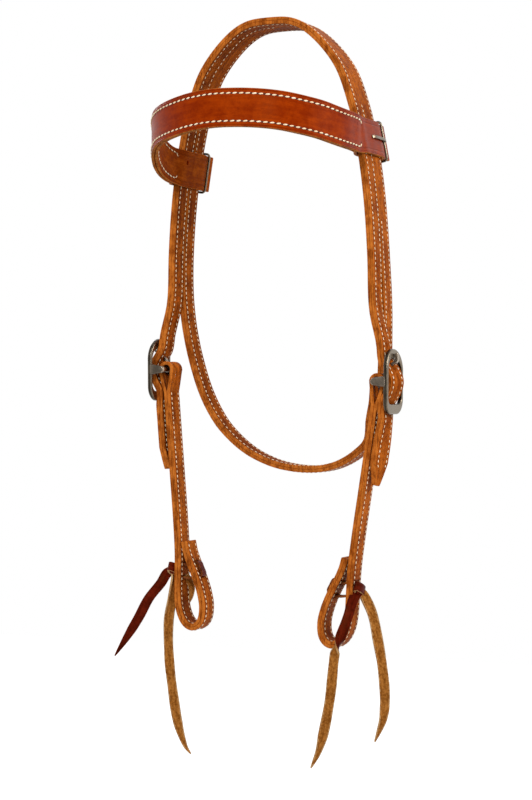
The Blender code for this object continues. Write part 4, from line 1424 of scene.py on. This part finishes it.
# %% [markdown]
# ### Buckle tongues
# The tongue goes round the bar with a little play, comes up through the slot in the fold and the
# billet's slot, and rests on the frame's upper end. Its line is a short curve through places that
# the bar and the frame give.

# %% Buckle tongues
tongue_eye_wall, tongue_thick = 0.0018, 0.0022


def buckle_tongue(side):
    """An eye round the bar, and a blade that runs up and rests on the frame's upper end."""
    centre = bar_centre(side)
    eye_inner = bar_diameter / 2 + tongue_clear
    eye_outer = eye_inner + tongue_eye_wall
    resting = bar_offset + frame_plate / 2 - bow_at() + layer_gap + tongue_thick / 2
    root = (eye_inner + eye_outer) / 2
    shape = (
        (root * 0.40, root * 0.86), (root * 0.95, root * 2.00),
        (resting * 0.50, half_opening * 0.66), (resting * 0.80, half_opening * 0.82),
        (resting, half_opening - tongue_thick / 2), (resting, half_opening + frame_end * 0.40),
        (resting * 0.98, half_opening + frame_end * 0.58))
    places = smooth([centre + side_point(side, out, 0.0, level) for out, level in shape], 4)
    blade = strip(f"blade_{side}", frames(places), tongue_width, tongue_thick,
                  (lit_plating,), rounding=0.0007)
    eye = spun_eye(
        f"eye_{side}", eye_inner, eye_outer, tongue_width, backward, centre, lit_plating)
    return together(f"buckle_tongue_{side}", [blade, eye])


for side in SIDES:
    buckle = together(
        f"buckle_frame_{side}", [frame_plate_piece(side), ear(side, -1), ear(side, 1), bar(side)])
    belongs(buckle, "crownpiece", "dark_nickel", f"cheek_buckle_frame_{side}")
    belongs(buckle_tongue(side), f"buckle_tongue_{side}", "dark_nickel",
            f"cheek_buckle_tongue_{side}")

# %% [markdown]
# ## The cheek straps
# Each cheek strap is one strip folded in half over the buckle's bar. Its two legs are sewn together
# from a little below the bar, run down, turn up in a loop for the bit and end beside themselves. The
# fold has a slot for the buckle's tongue, and the legs have holes for the tie thong.

# %% Cheek strap routes
cheek_length, loop_reach = 0.2000, 0.0195
cheek_route_shares = (
    (0.000, 0.085), (0.000, 0.230), (0.000, 0.400), (0.000, 0.570), (-0.030, 0.700),
    (-0.110, 0.790), (-0.180, 0.862), (-0.160, 0.925), (0.040, 0.975), (0.370, 0.994),
    (0.710, 0.975), (0.870, 0.925), (0.830, 0.868), (0.685, 0.812), (0.490, 0.757),
    (0.340, 0.708), (0.277, 0.665))
slot_width, slot_reach = 0.0052, 0.0085
thong_width, thong_thick, thong_clear = 0.0065, 0.0018, 0.0005


def cheek_points(side, first=None, last=None):
    return [
        in_cheek_plane(side, inward * loop_reach, down * cheek_length)
        for inward, down in cheek_route_shares[first:last]]


def cheek_base(side):
    return frames(thin(smooth(cheek_points(side)), 0.005))


def cheek_line(side, lift):
    return [place + face * SIDES[side] * lift for place, _, face in cheek_base(side)]


def cheek_route(side):
    """The strip's whole route: up the inner leg, over the bar and down the outer leg."""
    fold_radius = bar_diameter / 2 + fold_clear + leather / 2
    inner, outer = cheek_line(side, -layer_lift), cheek_line(side, layer_lift)
    steps = 24
    fold = [
        in_cheek_plane(side, fold_inward + fold_radius * math.cos(math.pi * k / steps),
                       -fold_radius * math.sin(math.pi * k / steps)) for k in range(steps + 1)]
    necks = []
    for sense, leg, end in ((1, inner, fold[0]), (-1, outer, fold[-1])):
        knee = in_cheek_plane(side, sense * (layer_lift + fold_radius) / 2, fold_radius * 2.05)
        necks.append(smooth([end, knee, leg[0]], 5)[1:-1])
    return inner[::-1] + necks[0][::-1] + fold + necks[1] + outer


def slot_punch(side):
    """The slot in the fold, round at its ends, for the buckle's tongue."""
    middle = in_cheek_plane(side, 0.0, (slot_reach - fold_outer) / 2)
    down = (in_cheek_plane(side, 0.0, 1.0) - in_cheek_plane(side, 0.0, 0.0)).normalized()
    return new_object("slot_punch", peg(
        middle, down.cross(backward), slot_width, 2 * fold_outer + punch_over, down,
        2 * slot_reach + fold_outer))


print("cheek strip", round(runs(cheek_route("left"))[-1] * 1000), "mm long before it is folded")

# %% [markdown]
# ### The lace through the legs
# The lace's route comes before the cheek strap is made, because the same shape, a little fatter,
# cuts its holes. A hole made from the lace itself always lies where the lace goes through.

# %% The lace's route
thong_middle_share, thong_apart = 0.775, 0.0100
collar_depth = 0.0095  # of the solids' plain collar, from whose middle the tails are placed
knot_off, knot_forward, knot_rise = strap_total / 2 + layer_gap + 0.0032, 0.0024, 0.0020
loop_bottom, loop_top = 7, -5  # where the main leg ends and the returning one begins


def beside(framed, side, down, off):
    """A place off a leg's middle line, inboard when positive, at a distance below the bar."""
    place, _, face = at_level(framed, in_cheek_plane(side, 0.0, down).z)
    inboard = face if face.x * SIDES[side] < 0 else -face
    return place + inboard * off


def main_leg(side):
    return frames(smooth(cheek_points(side, 2, loop_bottom)))


def beside_leg(side, off):
    return beside(main_leg(side), side, thong_middle_share * cheek_length, -off)


def knot_centre(side):
    """The middle of the wrap: close against the strap and a little forward of its middle."""
    return beside_leg(side, knot_off) - backward * knot_forward


def collar_centre(side):
    return beside_leg(side, strap_total / 2 + layer_gap + collar_depth / 2)


def thong_path(side):
    """The lace: in through the cheek strap, over the return leg and back out lower down."""
    middle = thong_middle_share * cheek_length
    upper, lower = middle - thong_apart / 2, middle + thong_apart / 2
    near, far = main_leg(side), frames(smooth(cheek_points(side, loop_top)))
    beyond = strap_total / 2 + layer_gap + thong_thick / 2
    bend = thong_thick * 0.7
    over = [
        (upper, -beyond), (upper, beyond * 0.8), (upper + bend, beyond + bend / 2),
        (middle, beyond + bend / 2), (lower - bend, beyond + bend / 2), (lower, beyond * 0.8),
        (lower, -beyond)]
    return [
        knot_centre(side) + upright * knot_rise, beside(near, side, upper, 0.0),
        *[beside(far, side, down, off) for down, off in over],
        beside(near, side, lower, 0.0), knot_centre(side) - upright * knot_rise]


def lace(name, side, spare=0.0):
    """The lace, or with spare room round it the punch for its holes."""
    framed = frames(thin(smooth(thong_path(side)), 0.005, math.radians(9)))
    return strip(name, framed, thong_width + 2 * spare, thong_thick + 2 * spare,
                 (latigo, latigo_rim, latigo_flesh), rounding=0.00035)


print("wrap at", [round(part, 4) for part in knot_centre("right")])

# %% [markdown]
# ### Folding and sewing the cheek straps
# Each strap is a single strip, so the fold over the bar and the two legs are one mesh. The stitches
# go through both legs and stop below the bar, where the fold has to stay open.

# %% Cheek strap pieces
for side in SIDES:
    route = frames(cheek_route(side))
    strap = strip(
        f"cheek_strap_piece_{side}", route, half_width, leather + layer_swell,
        (harness, harness_edge, harness), rounding=0.0006)
    cut(strap, slot_punch(side), lace("lace_punch", side, thong_clear))
    belongs(strap, f"cheek_{side}", "harness_leather", f"cheek_strap_{side}")

# %% Cheek strap stitch rows
sewn_below_bar, cheek_thread_lift, cheek_row_stop = 0.0165, 0.0001, 0.002


def cheek_rows(side):
    """A row along both edges of both faces, from a little below the bar."""
    rows = []
    framed = [
        entry for entry in cheek_base(side)
        if (entry[0] - bar_centre(side)).length > sewn_below_bar]
    for sense in (1, -1):
        lift = (strap_total / 2 + cheek_thread_lift) * SIDES[side] * sense
        for edge in (-1, 1):
            rows.append(stitch_row(
                offset_line(framed, edge * (half_width / 2 - slit_inset), lift),
                stop=cheek_row_stop, **harness_stitch))
    return rows


for side in SIDES:
    sew(f"cheek_stitching_{side}", cheek_rows(side), f"cheek_{side}")

# %% [markdown]
# ## The tie thongs
# A lace of latigo leather closes each bit loop. It passes through the strap twice, and its two ends
# are drawn together by a slanting wrap on the outer face, below which they hang as tails. The wrap
# is a short strip wound a little more than once round, with the squeezed ends as a plug inside it.

# %% Laces and wraps
latigo_finishes = (latigo, latigo_edge, latigo_flesh)
knot_tilt = math.radians(24)
wrap_deep, wrap_broad, wrap_width, wrap_thick = 0.0024, 0.0058, 0.0070, 0.0014
wrap_turns, wrap_begin, wrap_swell, wrap_climb = 1.35, 0.42, 0.24, 0.0006
plug_half_sizes = (0.0023, 0.0056, 0.0042, 1.0)
inner_width, inner_thick, inner_taper = 0.0058, 0.0015, 0.75
inner_across = Vector((0.85, 0.53, 0.0))


def knot_axes():
    """The wrap's own directions in the plane of the strap: along its axis and across it."""
    along = Vector((0.0, math.sin(knot_tilt), math.cos(knot_tilt)))
    across = Vector((0.0, math.cos(knot_tilt), -math.sin(knot_tilt)))
    return along, across


def wrap(side):
    """A strip wound round the two ends, its overlap lying on the outside."""
    along, across = knot_axes()
    out = across.cross(along)
    places, steps = [], 60
    for k in range(steps + 1):
        share = k / steps
        angle = 2 * math.pi * (wrap_turns * share - wrap_begin)
        swell = 1.0 + wrap_swell * share
        places.append(
            knot_centre(side) + out * (wrap_deep * swell * math.sin(angle))
            + across * (wrap_broad * swell * math.cos(angle)) + along * (wrap_climb * share))
    return strip(f"wrap_{side}", frames(places, along), wrap_width, wrap_thick,
                 latigo_finishes, -1, rounding=0.0003)


def plug(side):
    """The lace's squeezed ends inside the wrap."""
    along, across = knot_axes()
    bm = bmesh.new()
    turn = Matrix((across.cross(along), across, along)).transposed().to_4x4()
    bmesh.ops.create_uvsphere(
        bm, u_segments=20, v_segments=12, radius=1.0,
        matrix=Matrix.Translation(knot_centre(side)) @ turn @ Matrix.Diagonal(plug_half_sizes))
    return smooth_piece(f"plug_{side}", bm, latigo)


def inner_end():
    """The left lace's short inner end, which shows through the bit loop."""
    middle = collar_centre("left")
    places = smooth([middle + Vector(place) for place in (
        (0.0100, 0.0010, -0.0045), (0.0120, 0.0045, -0.0100), (0.0125, 0.0070, -0.0150),
        (0.0115, 0.0074, -0.0215), (0.0095, 0.0070, -0.0266))], 5)
    last = len(places) - 1
    widths = [inner_width * (1.0 - inner_taper * (k / last) ** 2) for k in range(last + 1)]
    return strip("inner_end", frames(places, inner_across), widths, inner_thick,
                 latigo_finishes, -1, rounding=0.0003)


for side in SIDES:
    pieces = [lace(f"lace_{side}", side), wrap(side), plug(side)]
    if side == "left":
        pieces.append(inner_end())
    tie = together(f"tie_lace_{side}", pieces)
    belongs(tie, f"cheek_{side}", "latigo_leather", f"tie_thong_{side}")

# %% [markdown]
# ## The hanging tails
# The lace's ends hang free, so each is a flat cord with its own real length. It leaves the wrap
# edge on, turns to show its face within the first quarter, and runs out in a long point.

# %% Tails
tail_width, tail_point, tail_tip = 0.0074, 0.026, 0.10
uneven_share, uneven_rate = 0.035, 190.0
curl_middle, curl_sway, curl_rate, curl_turned = 0.45, 0.30, 70.0, 1.9
facing_camera = Vector((0.906, 0.423, 0.0))
tails = {
    "thong_tail_front_left": dict(route=(
        (-0.0047, -0.0014, -0.0030), (-0.0084, -0.0046, -0.0106), (-0.0168, -0.0086, -0.0223),
        (-0.0240, -0.0116, -0.0370), (-0.0335, -0.0136, -0.0527), (-0.0435, -0.0146, -0.0675)),
        start=(0.77, 0.36, -0.51), end=(0.68, 0.32, -0.65), settled=0.20, grain=1),
    "thong_tail_rear_left": dict(route=(
        (0.0011, 0.0000, -0.0067), (-0.0012, 0.0010, -0.0210), (-0.0054, 0.0024, -0.0414),
        (-0.0060, 0.0044, -0.0696), (-0.0032, 0.0054, -0.0960), (0.0012, 0.0054, -0.1198),
        (0.0068, 0.0064, -0.1367), (0.0120, 0.0064, -0.1432)),
        start=(0.0, 1.0, 0.0), end=facing_camera, settled=0.24, grain=-1),
    "thong_tail_front_right": dict(route=(
        (-0.0038, -0.0076, -0.0056), (-0.0044, -0.0116, -0.0108), (-0.0050, -0.0146, -0.0167),
        (-0.0066, -0.0176, -0.0241), (-0.0088, -0.0198, -0.0315), (-0.0112, -0.0211, -0.0389),
        (-0.0132, -0.0219, -0.0456), (-0.0170, -0.0216, -0.0777),
        (-0.0228, -0.0196, -0.1034), (-0.0277, -0.0186, -0.1194), (-0.0342, -0.0176, -0.1319)),
        start=(0.86, 0.50, 0.05), end=facing_camera, settled=0.14, grain=1, turned=(0.27, 0.39)),
    "thong_tail_rear_right": dict(route=(
        (0.0020, 0.0006, -0.0063), (0.0070, 0.0024, -0.0188), (0.0107, 0.0034, -0.0372),
        (0.0143, 0.0034, -0.0570), (0.0159, 0.0044, -0.0792), (0.0147, 0.0044, -0.0948),
        (0.0111, 0.0044, -0.1054), (0.0075, 0.0054, -0.1132)),
        start=(0.3, 0.95, 0.0), end=facing_camera, settled=0.12, grain=-1),
}


def tail_widths(far):
    """A long straight taper at the end, and a slight unevenness from hand cutting before it."""
    total = far[-1]
    return [
        tail_width * (tail_tip + (1 - tail_tip) * min((total - run) / tail_point, 1.0) ** taper)
        * (1.0 + uneven_share * math.sin(run * uneven_rate)) for run in far]


def tail(name, side, route, start, end, settled, grain, turned=None):
    """A hanging end: its width turns from start to end, and over where it is turned."""
    points = [knot_centre(side)] + [collar_centre(side) + Vector(place) for place in route]
    places = thin(smooth(points), 0.002, math.radians(6))
    far = runs(places)
    broad, curls = [], []
    for run in far:
        share = run / far[-1]
        hint = Vector(start).lerp(Vector(end), min(1.0, share / settled))
        curl = curl_middle + curl_sway * math.sin(run * curl_rate)
        if turned:
            over = min(max((share - turned[0]) / (turned[1] - turned[0]), 0.0), 1.0)
            hint = Matrix.Rotation(math.pi * over * over * (3 - 2 * over), 3, "Z") @ hint
            curl += curl_turned * math.sin(math.pi * over)
        broad.append(hint)
        curls.append(curl)
    piece = strip(
        f"{name}_piece", frames(places, broad), tail_widths(far), thong_thick * 0.9,
        latigo_finishes, grain, rounding=0.00035, curls=curls)
    settle(piece)
    belongs(piece, f"cheek_{side}", "latigo_leather", name)
    every = max(len(places) // 30, 1)
    path = places[:-1:every] + [places[-1]]
    print(name, round(far[-1] * 1000, 1), "mm long,", len(path), "points")


for name, facts in tails.items():
    tail(name, name.rsplit("_", 1)[1], **facts)

# %% [markdown]
# ## Floor and light
# The headstall hangs over a plain white floor. The camera sees white behind it, while the lamps and
# the sky give only the plain level at which leather keeps its own colour.


# %% Floor
def seen_plainly(tree):
    """1 for rays from the camera, straight, mirrored or through glass, and 0 for the others."""
    rays = node(tree, "LightPath").outputs
    return calc(tree, "MAXIMUM", rays["Is Camera Ray"], calc(
        tree, "MAXIMUM", rays["Is Glossy Ray"], rays["Is Transmission Ray"]))


def white_floor():
    made, tree, shader = empty_material("floor_white", 0.9)
    shader.inputs["Base Color"].default_value = (0.70, 0.70, 0.70, 1.0)
    glow = node(tree, "Emission", {"Color": (1.0, 1.0, 1.0, 1.0), "Strength": 0.55})
    lit = node(tree, "AddShader", {0: shader.outputs[0], 1: glow.outputs[0]})
    picked = node(tree, "MixShader", {
        0: seen_plainly(tree), 1: shader.outputs[0], 2: lit.outputs[0]})
    tree.links.new(picked.outputs[0], tree.nodes["Material Output"].inputs["Surface"])
    return made


floor_half_size, floor_level = 0.9, -0.60
bm = bmesh.new()
bmesh.ops.create_grid(bm, x_segments=1, y_segments=1, size=floor_half_size,
                      matrix=Matrix.Translation((0.0, 0.0, floor_level)))
floor = new_object("floor", mesh_from("floor", bm, (white_floor(),)))
print("floor at", floor_level)

# %% [markdown]
# ### Sky and lamps
# A white sky lights the leather from all round, so that no side falls dark. Four soft lamps give it
# form: two in front, one of them high, one on the right and one behind on the left.

# %% Sky and lamps
world = bpy.data.worlds.new("studio")
world.use_nodes = True
bpy.context.scene.world = world
tree = world.node_tree
sky = tree.nodes["Background"]
sky.inputs["Color"].default_value = (1.0, 1.0, 1.0, 1.0)
tree.links.new(ramp(tree, seen_plainly(tree), 0.0, 1.0, 0.40, 1.0), sky.inputs["Strength"])


def lamp(name, place, aim_level, size, power):
    data = bpy.data.lights.new(name, "AREA")
    data.size, data.energy = size, power
    made = new_object(name, data)
    made.location = place
    made.rotation_mode = "QUATERNION"
    aim = Vector((0.0, 0.0, aim_level))
    made.rotation_quaternion = (Vector(place) - aim).to_track_quat("Z", "Y")


lamp("key", (-0.02, -1.50, 0.62), -0.20, 0.5, 13.5)
lamp("front", (0.78, -1.36, 0.10), -0.20, 0.35, 5.5)
lamp("side", (1.30, 0.10, 0.45), -0.25, 0.6, 11.0)
lamp("back", (-1.10, 0.70, 0.60), -0.20, 0.6, 6.0)
bpy.context.scene.view_settings.view_transform = "Standard"
print("four lamps and a white sky")
